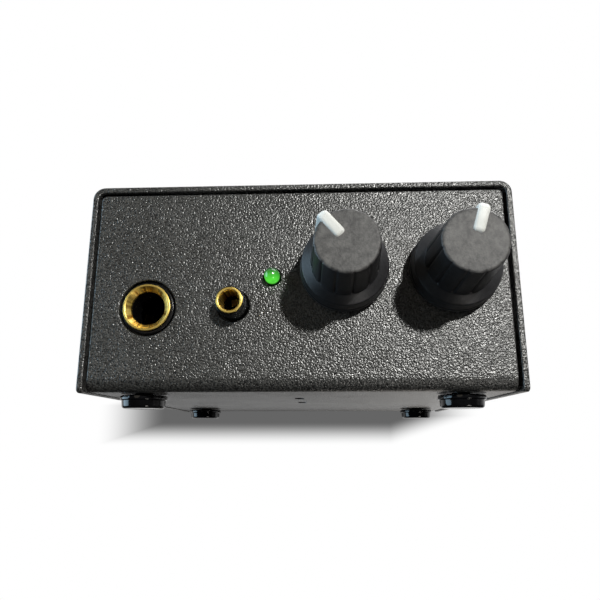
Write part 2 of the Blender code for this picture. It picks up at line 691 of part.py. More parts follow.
def make_contact(name, material, jack, centre, turn, bends):
    """Contact leaf beside or above a socket's bore, with a tail to the board. Returns room for the tail."""
    thick, half_width, tail = jack["leaf"]
    line = [(out, FRONT_Y + depth) for out, depth in bends]
    outline = line + [(out + thick, along) for out, along in reversed(line)]
    shape = extruded(outline, 2, -half_width, half_width)
    bmesh.ops.rotate(shape, verts=shape.verts, matrix=Matrix.Rotation(-turn, 3, "Y"))
    leaf = piece(name, moved(shape, (centre.x, 0, centre.z)), material)
    root, along = line[-1]
    level, upright = math.cos(turn), math.sin(turn)
    across = centre.x + (root + thick / 2) * level
    top = centre.z + (root + thick) * upright
    half = (thick * abs(level) + tail * upright) / 2
    front = along - tail * abs(level) - thick * upright
    add(leaf, box((across - half, front, ON_BOARD), (across + half, along, top)))
    low = (across - half - GAP, front - GAP, ON_BOARD - GAP)
    return box(low, (across + half + GAP, along + GAP, centre.z))


def make_jack(name, jack, finishes):
    """Headphone socket: hollow housing with a nose through the panel, gilt ferrule, contact leaves."""
    centre = at_front(jack["place"])
    width, length = jack["body"]
    face = FRONT_Y + BEHIND_PANEL
    low = (centre.x - width / 2, face, ON_BOARD)
    high = (centre.x + width / 2, face + length, centre.z + jack["above"])
    housing = piece(f"{name}_housing", box(low, high), finishes["nylon"])
    nose = Vector((0, -jack["nose_reach"], 0))
    add(housing, rod(centre + nose, (centre.x, face + SHEET, centre.z), jack["nose"], FINE))
    wide, tall = jack["cavity"]
    room_front, room_back = face + jack["front_wall"], face + length - jack["back_wall"]
    room = box((centre.x - wide, room_front, centre.z - tall), (centre.x + wide, room_back, centre.z + tall))
    slots = [
        make_contact(f"{name}_{contact}_spring", finishes["brass"], jack, centre, turn, zip(outs, depths))
        for contact, (turn, outs, depths) in jack["contacts"].items()
    ]
    cut(housing, room)
    cut(housing, *slots)
    bore, tube, end = jack["bore"], jack["tube"], jack["tube_end"]
    start, stop = jack["rim_reach"], -BEHIND_PANEL - jack["front_wall"] - SHEET
    outline = [(0, start), (tube + GAP, start), (tube + GAP, -end - GAP), (bore, -end - GAP)]
    cut(housing, moved(turned(outline + [(bore, stop), (0, stop)], FINE), centre, math.pi / 2))

    rim, rim_back, rounding = jack["rim"], jack["rim_back"], GAP / 3
    outline = [(jack["mouth"], start), (rim - rounding, start), (rim, start - rounding), (rim, rim_back)]
    outline += [(tube, rim_back), (tube, -end), (bore, -end), (bore, -jack["throat"])]
    piece(f"{name}_ferrule", turned(outline, FINE), finishes["gilt"], centre, OUT_FRONT)


def make_led(green, tinned):
    """3 mm indicator with its two bent legs."""
    centre = at_front(LED)
    flange_front, flange_back = -BEHIND_PANEL, -BEHIND_PANEL - LED_FLANGE_THICK
    back = -BEHIND_PANEL - LED_BACK
    outline = [(0, LED_STRAIGHT + LED_RADIUS)]
    outline += arc((0, LED_STRAIGHT), LED_RADIUS, 90, 0, BEND_STEPS)[1:]
    outline += [(LED_RADIUS, flange_front), (LED_FLANGE, flange_front), (LED_FLANGE, flange_back)]
    outline += [(LED_RADIUS, flange_back), (LED_RADIUS, back), (0, back)]
    piece("led_lens", turned(outline), green, centre, OUT_FRONT)
    start = FRONT_Y - back + GAP
    end = start + LED_LEG_REACH
    high, low = centre.z + LED_LEG / 2, centre.z - LED_LEG / 2
    outline = [(start, high), (start, low), (end - LED_LEG, low), (end - LED_LEG, ON_BOARD)]
    outline += [(end, ON_BOARD), (end, high)]
    for leg, sign in (("anode", -1), ("cathode", 1)):
        across = centre.x + sign * LED_LEG_SPACING / 2
        piece(f"led_{leg}_leg", extruded(outline, 0, across - LED_LEG / 2, across + LED_LEG / 2), tinned)


def make_input(nylon, nickel, inserts):
    """Pair of phono sockets on one block behind the rear panel."""
    width, depth, height = INPUT_BLOCK
    middle = sum(place[0] for place in INPUT_PLACES.values()) / len(INPUT_PLACES)
    face = REAR_Y - BEHIND_PANEL
    low = (middle - width / 2, face - depth, ON_BOARD)
    piece("input_block", box(low, (middle + width / 2, face, ON_BOARD + height)), nylon)
    root, inside = GAP - BEHIND_PANEL, INPUT_SHELL - INPUT_SHELL_WALL
    shell = [(inside, INPUT_REACH), (INPUT_SHELL - INPUT_EDGE, INPUT_REACH)]
    shell += [(INPUT_SHELL, INPUT_REACH - INPUT_EDGE), (INPUT_SHELL, root), (inside, root)]
    top, filling = INPUT_INSERT_REACH, inside - GAP
    insert = [(INPUT_CONTACT + INPUT_LEAD_IN, top), (filling, top), (filling, root)]
    insert += [(INPUT_CONTACT, root), (INPUT_CONTACT, top - INPUT_LEAD_IN)]
    for side, place in INPUT_PLACES.items():
        piece(f"input_shell_{side}", turned(shell), nickel, at_rear(place), OUT_REAR)
        piece(f"input_insert_{side}", turned(insert), inserts[side], at_rear(place), OUT_REAR)


def make_power_inlet(nylon, nickel):
    """Barrel power inlet: housing with a round nose in the rear panel, centre pin."""
    centre = at_rear(POWER_PLACE)
    width, depth, height = POWER_BODY
    face = REAR_Y - BEHIND_PANEL
    low = (centre.x - width / 2, face - depth, ON_BOARD)
    housing = piece("power_inlet", box(low, (centre.x + width / 2, face, ON_BOARD + height)), nylon)
    tip = centre + Vector((0, POWER_PROUD, 0))
    add(housing, rod((centre.x, face - SHEET, centre.z), tip, POWER_NOSE, MEDIUM))
    bottom, root, seat = -POWER_BORE_DEPTH, -POWER_BORE_DEPTH - POWER_PIN_ROOT, POWER_PIN + GAP
    outline = [(0, 2 * POWER_PROUD), (POWER_BORE, 2 * POWER_PROUD), (POWER_BORE, bottom), (seat, bottom)]
    outline += [(seat, root - GAP), (0, root - GAP)]
    cut(housing, moved(turned(outline), centre, -math.pi / 2))
    end = -POWER_PIN_SUNK
    pin = [(0, end), (POWER_PIN / 2, end), (POWER_PIN, end - POWER_PIN / 2), (POWER_PIN, root), (0, root)]
    piece("power_inlet_pin", turned(pin, COARSE), nickel, centre, OUT_REAR)


def make_chips(material):
    """Two eight-pin amplifier chips."""
    width, length, height = CHIP_BODY
    top, elbow = CHIP_LIFT + height, CHIP_LIFT + height / 2
    reach, root = width / 2 + CHIP_PIN_SPREAD, width / 2 - CHIP_PIN_SPREAD

    def upper(edge):
        return min(vertex.co.z for vertex in edge.verts) > elbow

    for side, place in CHIP_PLACES.items():
        shape = box((-width / 2, -length / 2, CHIP_LIFT), (width / 2, length / 2, top))
        chip = piece(f"amplifier_chip_{side}", rounded(shape, CHIP_EDGE, 1, upper), material, on_board(place))
        pins = []
        for row in range(4):
            along = (row - 1.5) * CHIP_PITCH
            for _, sign in SIDES:
                outline = [(reach, elbow), (reach, 0), (reach - CHIP_PIN_THICK, 0)]
                outline += [(reach - CHIP_PIN_THICK, elbow - CHIP_PIN_THICK), (root, elbow - CHIP_PIN_THICK)]
                outline = [(sign * across, rise) for across, rise in outline + [(root, elbow)]]
                pins.append(extruded(outline, 1, along - CHIP_PIN_WIDTH / 2, along + CHIP_PIN_WIDTH / 2))
        add(chip, *pins)


def make_capacitors(material):
    """Radial capacitor cans, each with its crimp groove."""
    for name, (place, radius, height) in CAPACITORS.items():
        neck = radius - CAPACITOR_EDGE
        outline = [(0, height), (neck, height), (radius, height - CAPACITOR_EDGE)]
        outline += [(radius, CRIMP_HEIGHT + CAPACITOR_EDGE), (neck, CRIMP_HEIGHT)]
        outline += [(radius, CRIMP_HEIGHT - CAPACITOR_EDGE), (radius, CAPACITOR_EDGE), (neck, 0), (0, 0)]
        piece(name, turned(outline, COARSE), material, on_board(place))


def make_regulator(material):
    """Three-legged voltage regulator with a metal tab."""
    width, depth, height = REGULATOR_BODY
    leg_width, leg_thick, lift = REGULATOR_LEG
    tab_width, tab_thick, tab_height = REGULATOR_TAB
    back, eye = depth / 2 + WELD, lift + tab_height - 2 * REGULATOR_EYE
    shape = box((-width / 2, -depth / 2, lift), (width / 2, depth / 2 - tab_thick / 2, lift + height))
    body = piece("voltage_regulator", shape, material, on_board(REGULATOR_PLACE))
    tab_low = (-tab_width / 2, back - tab_thick, lift + tab_thick)
    extras = [box(tab_low, (tab_width / 2, back, lift + tab_height))]
    for across in (-CHIP_PITCH, 0, CHIP_PITCH):
        low = (across - leg_width / 2, -leg_thick, 0)
        extras.append(box(low, (across + leg_width / 2, 0, lift + leg_thick)))
    add(body, *extras)
    cut(body, rod((0, 0, eye), (0, 2 * back, eye), REGULATOR_EYE))


def main():
    for thing in list(bpy.data.objects):
        bpy.data.objects.remove(thing)
    coat = finish("black_powder_coat", "3a3938", 0.62)
    nylon = finish("black_nylon", "17171a", 0.5)
    brass = finish("spring_brass", "b8924c", 0.35, 1.0)
    nickel = finish("nickel_plate", "c9c6bf", 0.25, 1.0)
    tinned = finish("tinned_wire", "c4c6c8", 0.35, 1.0)
    epoxy = finish("chip_epoxy", "1d1d1f", 0.55)
    controls = {
        "knob": finish("black_moulded_plastic", "2c2d2f", 0.5),
        "pointer": finish("white_moulded_plastic", "e6e9e6", 0.4),
        "zinc": finish("zinc_casting", "a9aaa8", 0.45, 1.0),
        "aluminium": finish("turned_aluminium", "c3c4c5", 0.35, 1.0),
        "can": finish("plated_can", "b9babb", 0.4, 1.0),
        "nickel": nickel,
    }
    jacks = {"nylon": nylon, "brass": brass, "gilt": finish("gilt_brass", "c7963f", 0.28, 1.0)}
    inserts = {
        "left": finish("white_insert", "e4e2dc", 0.4),
        "right": finish("red_insert", "b3261e", 0.4),
    }
    make_tray(coat)
    make_cover(coat)
    make_cover_screws(finish("black_zinc_steel", "3b3c3e", 0.45, 1.0))
    make_feet(finish("black_rubber", "141416", 0.35))
    make_board(finish("green_board", "1f4a33", 0.45), brass, tinned)
    for name, (place, angle) in CONTROLS.items():
        make_control(name, place, angle, controls)
    make_jack("phone_jack", PHONE_JACK, jacks)
    make_jack("mini_jack", MINI_JACK, jacks)
    make_led(finish("green_lens", "3fc83a", 0.15), tinned)
    make_input(nylon, nickel, inserts)
    make_power_inlet(nylon, nickel)
    make_chips(epoxy)
    make_capacitors(finish("capacitor_sleeve", "22242c", 0.4))
    make_regulator(epoxy)


main()
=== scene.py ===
"""Desktop headphone amplifier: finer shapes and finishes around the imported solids.

Metres, +Z up, front towards -Y. Sizes are written in millimetres. Places on a panel are (across, above the
tray's underside), on a side (behind the front face, above the tray's underside), and on the floor (across,
behind the front face). Turned outlines are (radius, height, rounding), with the height measured out of the
face that the piece stands on.
"""

import json
import math

import bmesh
import bpy
from mathutils import Euler, Matrix, Vector


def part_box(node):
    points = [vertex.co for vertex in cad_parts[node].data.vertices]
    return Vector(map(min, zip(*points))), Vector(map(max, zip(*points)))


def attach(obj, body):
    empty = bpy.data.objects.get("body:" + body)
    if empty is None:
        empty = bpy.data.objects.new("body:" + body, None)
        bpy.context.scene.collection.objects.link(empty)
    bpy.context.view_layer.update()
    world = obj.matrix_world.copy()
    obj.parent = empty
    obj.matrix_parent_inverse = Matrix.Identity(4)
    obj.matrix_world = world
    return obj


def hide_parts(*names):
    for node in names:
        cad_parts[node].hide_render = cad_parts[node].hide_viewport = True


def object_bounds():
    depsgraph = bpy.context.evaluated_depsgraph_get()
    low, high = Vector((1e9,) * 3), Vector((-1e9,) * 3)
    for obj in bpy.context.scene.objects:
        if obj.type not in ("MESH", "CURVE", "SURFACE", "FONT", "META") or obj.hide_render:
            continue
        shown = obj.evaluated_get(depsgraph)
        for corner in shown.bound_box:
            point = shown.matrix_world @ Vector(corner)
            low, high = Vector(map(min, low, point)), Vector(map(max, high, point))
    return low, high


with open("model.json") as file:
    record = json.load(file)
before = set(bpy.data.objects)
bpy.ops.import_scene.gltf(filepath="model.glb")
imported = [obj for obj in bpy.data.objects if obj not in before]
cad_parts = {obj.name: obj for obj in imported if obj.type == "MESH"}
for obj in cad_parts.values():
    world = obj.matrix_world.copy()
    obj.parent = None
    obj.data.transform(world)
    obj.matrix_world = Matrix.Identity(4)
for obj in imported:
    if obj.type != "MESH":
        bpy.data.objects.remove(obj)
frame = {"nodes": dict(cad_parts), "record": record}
CAD_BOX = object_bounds()

MM = 0.001
CREASE = math.radians(38)
QUARTER = math.pi / 2
SIDES = (("left", -1), ("right", 1))
TURNING = "turning"
# Points nearer than this, in metres, are one point. Points are picked by their place to this, in millimetres
WELD = 0.001 * MM
PICK = 0.01

# Faces round a turned piece, a hole and a screw, and along a rounded corner, a rounded edge and a fold
ROUND_STEPS = 96
HOLE_STEPS = 72
SCREW_STEPS = 64
CORNER_STEPS = 5
EDGE_STEPS = 3
FOLD_STEPS = 12

SLOT_OF = {part["node"]: part["material_slot"] for part in frame["record"]["subparts"]}
BODY_OF = {node: body for body, nodes in frame["record"]["behaviour"]["bodies"].items() for node in nodes}

# Case: a tray that is front panel, floor and rear panel, and a cover that is top and sides
TRAY_LOW, TRAY_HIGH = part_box("chassis_tray")
COVER_LOW, COVER_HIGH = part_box("top_cover")
FRONT, REAR, UNDERSIDE = TRAY_LOW.y, TRAY_HIGH.y, TRAY_LOW.z
SHEET = 1.2
TRAY_BEND = 2.6
COVER_BEND = 2.4
PANEL_CORNER = 1.0
COATED_EDGE = 0.28
LENS_LIP = 0.12
FLANGE = dict(inset=0.1, start=12.0, end=75.0, height=9.0)
FLOOR_SLOTS = ((-0.9, 21.4), (-0.9, 35.7))
SLOT_SIZE = (2.0, 4.5)
SLOT_ROUNDING = 0.95
SLOT_STEPS = 6
# Radii of the holes in the sheets
HOLE = dict(phone=5.5, mini=3.15, lens=1.8, power=4.5, control=3.8, input=4.45, foot=2.0, screw=1.6)
# Gap between a sheet and the housings behind it or the screw heads on it
SLACK = 0.3

# Places on the front panel, and the angles at which the pointers stand, in degrees clockwise from upright
PHONE_JACK = (-29.35, 16.0)
MINI_JACK = (-12.7, 16.3)
INDICATOR = (-5.2, 21.9)
KNOBS = {"volume": ((8.7, 23.0), -41), "gain": ((29.5, 22.8), 17)}

# Places on the rear panel, on the sides and under the floor
INPUTS = {"left": (-14.0, 16.0), "right": (-28.0, 16.0)}
POWER = (27.0, 13.9)
COVER_SCREWS = {"front": (22.0, 5.0), "rear": (65.0, 5.0)}
FEET = {"front": (31.4, 8.0), "rear": (32.0, 70.0)}

# Knob: its outline, where its fluted body starts above the panel and outside the cap, and its grooves, which
# are shallower towards the cap
KNOB_HEIGHT = 17.2
KNOB_OUTLINE = (
    (0, KNOB_HEIGHT, 0), (4.9, KNOB_HEIGHT, 0), (5.65, KNOB_HEIGHT, 0.5), (6.3, 6.0, 0.22), (8.1, 4.9, 0.28),
    (8.28, 2.3, 0.1), (8.45, 2.1, 0.1), (8.45, 1.2, 0.15), (6.22, 1.2, 0), (6.22, 3.7, 0), (4.1, 3.7, 0),
    (4.1, 5.2, 0), (3.3, 5.2, 0), (3.3, 14.8, 0), (0, 14.8, 0),
)
KNOB_BODY_FOOT = 6.1
KNOB_RIM = 5.0
LOBES = 12
STEPS_PER_LOBE = 20
GROOVE_DEPTH = 0.32
GROOVE_SHARE = 0.34
GROOVE_LEAST = 0.3
GROOVE_RUNOUT = 4.0

# Pointer of a knob, side view as (out from the axis, height)
POINTER_OUTLINE = ((1.35, 17.6), (1.35, 16.3), (4.8, 16.3), (5.38, 6.3), (7.7, 6.3), (6.75, 17.6))
POINTER_WIDTH = 2.1
POINTER_BROW = 1.3
POINTER_BROW_STEPS = 8
POINTER_EDGE = 0.7

# Other turned outlines
PHONE_FERRULE = (
    (4.2, 0.5, 0.08), (4.6, 0.5, 0.12), (4.6, 0.1, 0.05), (4.0, 0.1, 0), (4.0, -1.0, 0), (3.3, -1.0, 0),
    (3.3, -0.45, 0.06),
)
MINI_FERRULE = (
    (2.05, 4.5, 0.08), (2.48, 4.5, 0.12), (2.48, 4.2, 0.04), (2.15, 4.2, 0), (2.15, 0, 0), (1.8, 0, 0),
    (1.8, 4.1, 0.1),
)
PHONE_NOSE = ((0, -0.2, 0), (5.2, -0.2, 0.3), (5.2, -2.7, 0), (0, -2.7, 0))
PHONE_BORE = ((0, 0.5, 0), (4.3, 0.5, 0), (4.3, -1.3, 0), (3.3, -1.3, 0), (3.3, -8.2, 0), (0, -8.2, 0))
MINI_NOSE = ((0, 3.9, 0), (2.85, 3.9, 0.25), (2.85, -2.7, 0), (0, -2.7, 0))
MINI_BORE = ((0, 4.5, 0), (2.45, 4.5, 0), (2.45, -0.3, 0), (1.8, -0.3, 0), (1.8, -5.0, 0), (0, -5.0, 0))
LENS_OUTLINE = (
    (0, 2.5, 0), (1.5, 2.5, 1.42), (1.5, -1.5, 0), (1.9, -1.5, 0.1), (1.9, -2.5, 0.1), (1.5, -2.5, 0),
    (1.5, -3.5, 0.1), (0, -3.5, 0),
)
FOOT_OUTLINE = (
    (0, 6.3, 0), (1.25, 6.3, 0.3), (2.5, 4.3, 0.25), (1.7, 4.3, 0.1), (1.7, 2.5, 0.1), (4.6, 2.5, 0.2),
    (4.6, 1.6, 0.2), (4.3, 1.6, 0.08), (4.15, 0, 0.5), (0, 0, 0),
)
SCREW_OUTLINE = (
    (0, 1.5, 0), (1.6, 1.42, 0.5), (2.75, 0.75, 0.35), (2.75, 0, 0.1), (1.3, 0, 0), (1.3, -3.5, 0),
    (0.8, -4.1, 0), (0, -4.1, 0),
)
SHELL_OUTLINE = ((3.65, 9.5, 0.1), (4.15, 9.5, 0.2), (4.15, -1.2, 0), (3.65, -1.2, 0))
INSERT_OUTLINE = ((1.85, 9.1, 0.18), (3.35, 9.1, 0.15), (3.35, -1.2, 0), (1.7, -1.2, 0), (1.7, 8.7, 0))
POWER_NOSE = ((0, 0.4, 0), (4.2, 0.4, 0.15), (4.2, -2.7, 0), (0, -2.7, 0))
POWER_BORE = ((0, 0.8, 0), (3.1, 0.8, 0), (3.1, -9.5, 0), (1.35, -9.5, 0), (1.35, -12.5, 0), (0, -12.5, 0))
POWER_PIN = ((0, -1.0, 0), (1.05, -1.0, 0.5), (1.05, -12.2, 0), (0, -12.2, 0))

# Cross recess of a screw: half length and half width of an arm, its floor, and how far up the cutter reaches
RECESS = dict(arm=1.5, groove=0.36, floor=0.45, reach=3)

# Socket housings behind the panels: half width, depth, lowest and highest above the tray's underside, the
# cavity's half width and half height, and the walls in front of it and behind it
PHONE_BODY = dict(half=8.0, depth=30.5, low=7.7, high=24.5, cavity=(6.5, 5.0), walls=(5.5, 1.5))
MINI_BODY = dict(half=5.5, depth=13.0, low=7.7, high=21.8, cavity=(4.3, 3.0), walls=(1.0, 1.2))
POWER_BODY = dict(half=4.5, depth=13.5, low=7.7, high=19.2)
HOUSING_EDGE = 0.4

# Floor and card of the stage: half sizes, where the floor fades out, and the card's gap to the rear sockets
FLOOR_HALF = 500
FLOOR_FADE = (160, 500)
CARD_HALF = 300
CARD_GAP = 0.3
# Painted shadow on the card: where its light would come from, the way through the case that makes it darkest,
# how light it is there, how much wider than the case it is at the right, and how much of the case's height
# casts it
CARD_LIGHT = (0.36, -1.0, 0.118)
CARD_REACH = 70.0
CARD_DARKEST = 0.13
CARD_SPREAD = 20.0
CARD_TALL = 14.0
# What gloss sees of the card, as (height, level): a painted reflection, dark below the case
CARD_GLOSS = ((-40, 0.02), (-12, 0.75))

# Lamps: where each stands as seen from the panel, its distance and width in metres, its watts and its colour
LAMP_AIM = 20
LAMPS = {
    "key": ((0.355, -0.892, 0.322), 0.55, 0.028, 2.7, "fffefa"),
    "window": ((-0.98, -0.05, 0.12), 0.6, 0.6, 3.3, "c3e7ff"),
    "fill": ((-0.36, -0.91, 0.18), 0.6, 0.3, 0.12, "fff4e0"),
    "low": ((0.42, -0.62, -0.67), 0.6, 0.16, 0.45, "fffaf4"),
    "behind": ((0.25, 0.75, -0.6), 0.6, 0.16, 0.6, "fff8ee"),
    "top": ((0.3, 0.1, 0.95), 0.9, 0.7, 4.5, "ffffff"),
}

# Camera, as fitted to the edges of the case and to the round sockets
CAMERA_PLACE = (4.9, -143.72, -5.3)
CAMERA_TURN = (103.64, -0.03, 2.59)
CAMERA_NEAR = 5
LENS = 33.71
SENSOR = 36.0


def at_front(place):
    """Frame of a piece that stands out of the front panel."""
    spot = Vector((place[0] * MM, FRONT, UNDERSIDE + place[1] * MM))
    return Matrix.Translation(spot) @ Matrix.Rotation(QUARTER, 4, "X")


def at_rear(place):
    """Frame of a piece that stands out of the rear panel."""
    spot = Vector((place[0] * MM, REAR, UNDERSIDE + place[1] * MM))
    return Matrix.Translation(spot) @ Matrix.Rotation(-QUARTER, 4, "X")


def at_side(sign, place, gap=0.0):
    """Frame of a piece that stands out of a side of the cover, with a gap under it."""
    spot = Vector((sign * (COVER_HIGH.x + gap * MM), FRONT + place[0] * MM, UNDERSIDE + place[1] * MM))
    return Matrix.Translation(spot) @ Matrix.Rotation(sign * QUARTER, 4, "Y")


def at_knob(name):
    """Frame of a knob, turned to where its pointer stands."""
    place, angle = KNOBS[name]
    return at_front(place) @ Matrix.Rotation(math.radians(-angle), 4, "Z")


def rounded(shape, parts, radius, segments=EDGE_STEPS, affect="EDGES"):
    """Rounds edges of a shape, or corners where affect says VERTICES."""
    bmesh.ops.bevel(
        shape, geom=parts, offset=radius * MM, segments=segments, profile=0.5, affect=affect, material=-1
    )


def eased(shape, radius):
    """Rounds every sharp edge of a shape."""
    rounded(shape, [edge for edge in shape.edges if edge.calc_face_angle() > CREASE], radius)
    return shape


def placed(shape, place):
    """A shape moved into a frame."""
    bmesh.ops.transform(shape, matrix=place, verts=shape.verts)
    return shape


def draw_out(shape, swept, axis, length):
    """Moves what an extrusion has made along axis 0, 1 or 2, by a length in metres."""
    along = Vector((0, 0, 0))
    along[axis] = length
    moved = [item for item in swept["geom"] if isinstance(item, bmesh.types.BMVert)]
    bmesh.ops.translate(shape, verts=moved, vec=along)
    bmesh.ops.recalc_face_normals(shape, faces=shape.faces)


def turned(outline, steps=ROUND_STEPS):
    """Solid of revolution about Z, closed on the axis or round a bore.

    Each point keeps its spoke and its radius, which the turned metals read.
    """
    shape = bmesh.new()
    points = [shape.verts.new((radius * MM, 0, height * MM)) for radius, height, _ in outline]
    pairs = list(zip(points, points[1:]))
    if outline[0][0] > 0:
        pairs.append((points[-1], points[0]))
    for pair in pairs:
        shape.edges.new(pair)
    for point, (_, _, rounding) in zip(points, outline):
        if rounding:
            rounded(shape, [point], rounding, CORNER_STEPS, "VERTICES")
    profile = shape.verts[:] + shape.edges[:]
    bmesh.ops.spin(shape, geom=profile, axis=(0, 0, 1), angle=math.tau, steps=steps, use_merge=True)
    bmesh.ops.remove_doubles(shape, verts=shape.verts, dist=WELD)
    bmesh.ops.recalc_face_normals(shape, faces=shape.faces)
    turning = shape.verts.layers.float_vector.new(TURNING)
    for vertex in shape.verts:
        radius = math.hypot(vertex.co.x, vertex.co.y)
        if radius > WELD:
            vertex[turning] = (vertex.co.x / radius, vertex.co.y / radius, radius / MM)
    return shape


def prism(outline, half):
    """An outline in Y and Z, swept along X to half its width on both sides."""
    shape = bmesh.new()
    rim = [shape.verts.new((-half * MM, out * MM, height * MM)) for out, height in outline]
    swept = bmesh.ops.extrude_face_region(shape, geom=[shape.faces.new(rim)])
    draw_out(shape, swept, 0, 2 * half * MM)
    return shape


def block(low, high, rounding=0.0):
    """Block between two corners in metres, with rounded edges."""
    low, high = Vector(low), Vector(high)
    shape = bmesh.new()
    size = Matrix.Diagonal((*(high - low), 1))
    bmesh.ops.create_cube(shape, size=1, matrix=Matrix.Translation((low + high) / 2) @ size)
    if rounding:
        rounded(shape, shape.edges[:], rounding)
    return shape


def drill(place, radius, lip=COATED_EDGE):
    """Cutter for a round hole through a sheet, with a rounded lip at the face that the frame stands on."""
    # It starts a hair above that face, so that no two faces lie in one plane
    reach, skim = 2 * SHEET, 0.004
    wide = radius + 1.5 * lip
    outline = (
        (0, reach, 0), (wide, reach, 0), (wide, skim, 0),
        (radius, skim, lip), (radius, -reach, 0), (0, -reach, 0),
    )
    return placed(turned(outline, HOLE_STEPS), place)


def carved(shape, joins=(), cuts=()):
    """A shape with others joined to it and others cut out of it."""
    steps = [("", shape)]
    steps += [("UNION", join) for join in joins]
    steps += [("DIFFERENCE", cut) for cut in cuts]
    things = []
    for operation, part in steps:
        mesh = bpy.data.meshes.new("blank")
        part.to_mesh(mesh)
        part.free()
        thing = bpy.data.objects.new("blank", mesh)
        bpy.context.scene.collection.objects.link(thing)
        things.append(thing)
        if operation:
            modifier = things[0].modifiers.new(operation, "BOOLEAN")
            modifier.operation = operation
            modifier.solver = "EXACT"
            modifier.object = thing
    result = bmesh.new()
    result.from_object(things[0], bpy.context.evaluated_depsgraph_get())
    for thing in things:
        bpy.data.objects.remove(thing)
    return result


def folded(corners, axis, start, end, bend):
    """Thin sheet along one axis, through corners in metres, with rounded folds and facing outwards."""
    shape = bmesh.new()
    line = []
    for pair in corners:
        spot = list(pair)
        spot.insert(axis, start)
        line.append(shape.verts.new(spot))
    edges = [shape.edges.new(pair) for pair in zip(line, line[1:])]
    swept = bmesh.ops.extrude_edge_only(shape, edges=edges)
    draw_out(shape, swept, axis, end - start)
    centre = sum((vertex.co for vertex in shape.verts), Vector()) / len(shape.verts)
    face = shape.faces[:][0]
    if face.normal.dot(face.calc_center_median() - centre) < 0:
        bmesh.ops.reverse_faces(shape, faces=shape.faces)
    rounded(shape, [edge for edge in shape.edges if len(edge.link_faces) == 2], bend, FOLD_STEPS)
    return shape


def thickened(shape, corners):
    """A folded sheet with its corners rounded, given its thickness inwards and the coat's soft edges."""
    rounded(shape, corners, PANEL_CORNER, CORNER_STEPS, "VERTICES")
    bmesh.ops.solidify(shape, geom=shape.faces[:], thickness=SHEET * MM)
    return eased(shape, COATED_EDGE)


def shown(node, shape, material, flat=False):
    """The finished piece that stands for a solid. It rides on the same body and keeps its material slot."""
    name = f"{node}_form"
    mesh = bpy.data.meshes.new(name)
    shape.to_mesh(mesh)
    shape.free()
    mesh.shade_smooth()
    mesh.set_sharp_from_angle(angle=CREASE)
    mesh.materials.append(material)
    piece = bpy.data.objects.new(name, mesh)
    bpy.context.scene.collection.objects.link(piece)
    if flat:
        flats = piece.modifiers.new("flats", "WEIGHTED_NORMAL")
        flats.keep_sharp = True
    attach(piece, BODY_OF[node])
    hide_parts(node)


def colour(hex_value):
    """An sRGB hex colour as linear light."""
    channels = [int(hex_value[start:start + 2], 16) / 255 for start in (0, 2, 4)]
    return (*[c / 12.92 if c <= 0.04045 else ((c + 0.055) / 1.055) ** 2.4 for c in channels], 1.0)


def add(tree, kind, inputs=(), **settings):
    """One node: settings are its properties, and inputs are values or outputs of other nodes."""
    node = tree.nodes.new(f"ShaderNode{kind}")
    for name, value in settings.items():
        setattr(node, name, value)
    for name, value in dict(inputs).items():
        if isinstance(value, bpy.types.NodeSocket):
            tree.links.new(value, node.inputs[name])
        else:
            node.inputs[name].default_value = value
    return node


def surface(name, hex_value, roughness, sockets=()):
    """A Principled material, returned with its node tree, its shader and its Object coordinates."""
    material = bpy.data.materials.new(name)
    material.use_nodes = True
    tree = material.node_tree
    shader = tree.nodes["Principled BSDF"]
    shader.inputs["Base Color"].default_value = colour(hex_value)
    shader.inputs["Roughness"].default_value = roughness
    for socket, value in dict(sockets).items():
        shader.inputs[socket].default_value = value
    material.diffuse_color = colour(hex_value)
    return material, tree, shader, add(tree, "TexCoord").outputs["Object"]


def powder_coat():
    # Polyester powder with a fine-texture additive, sprayed on steel sheet and baked: a black skin of
    # shrunken grains, 0.3 to 0.5 mm wide, each tilted its own way, so that it glints in specks and is dull
    # between them
    material, tree, shader, where = surface("powder_coat", "2e2e2d", 0.3, {"Specular IOR Level": 0.8})
    grit = {"Vector": where, "Scale": 1 / (0.32 * MM), "Detail": 0.7, "Roughness": 0.4}
    grain = add(tree, "TexNoise", grit)
    bump = add(tree, "Bump", {"Height": grain.outputs[0], "Distance": 0.16 * MM})
    # Painted light and shade on the grain: its colour is lighter on the tops and darker in the pits
    tone = add(tree, "MapRange", {"Value": grain.outputs[0], "From Min": 0.3, "From Max": 0.7})
    tones = {"Factor": tone.outputs[0], "A": colour("0e0e0e"), "B": colour("4c4c4a")}
    tint = add(tree, "Mix", tones, data_type="RGBA")
    cloud = add(tree, "TexNoise", {"Vector": where, "Scale": 1 / (9 * MM), "Detail": 2.0})
    sheen = {"Value": cloud.outputs[0], "From Min": 0.3, "From Max": 0.7, "To Min": 0.28, "To Max": 0.34}
    gloss = add(tree, "MapRange", sheen)
    tree.links.new(tint.outputs["Result"], shader.inputs["Base Color"])
    tree.links.new(gloss.outputs[0], shader.inputs["Roughness"])
    tree.links.new(bump.outputs[0], shader.inputs["Normal"])
    return material


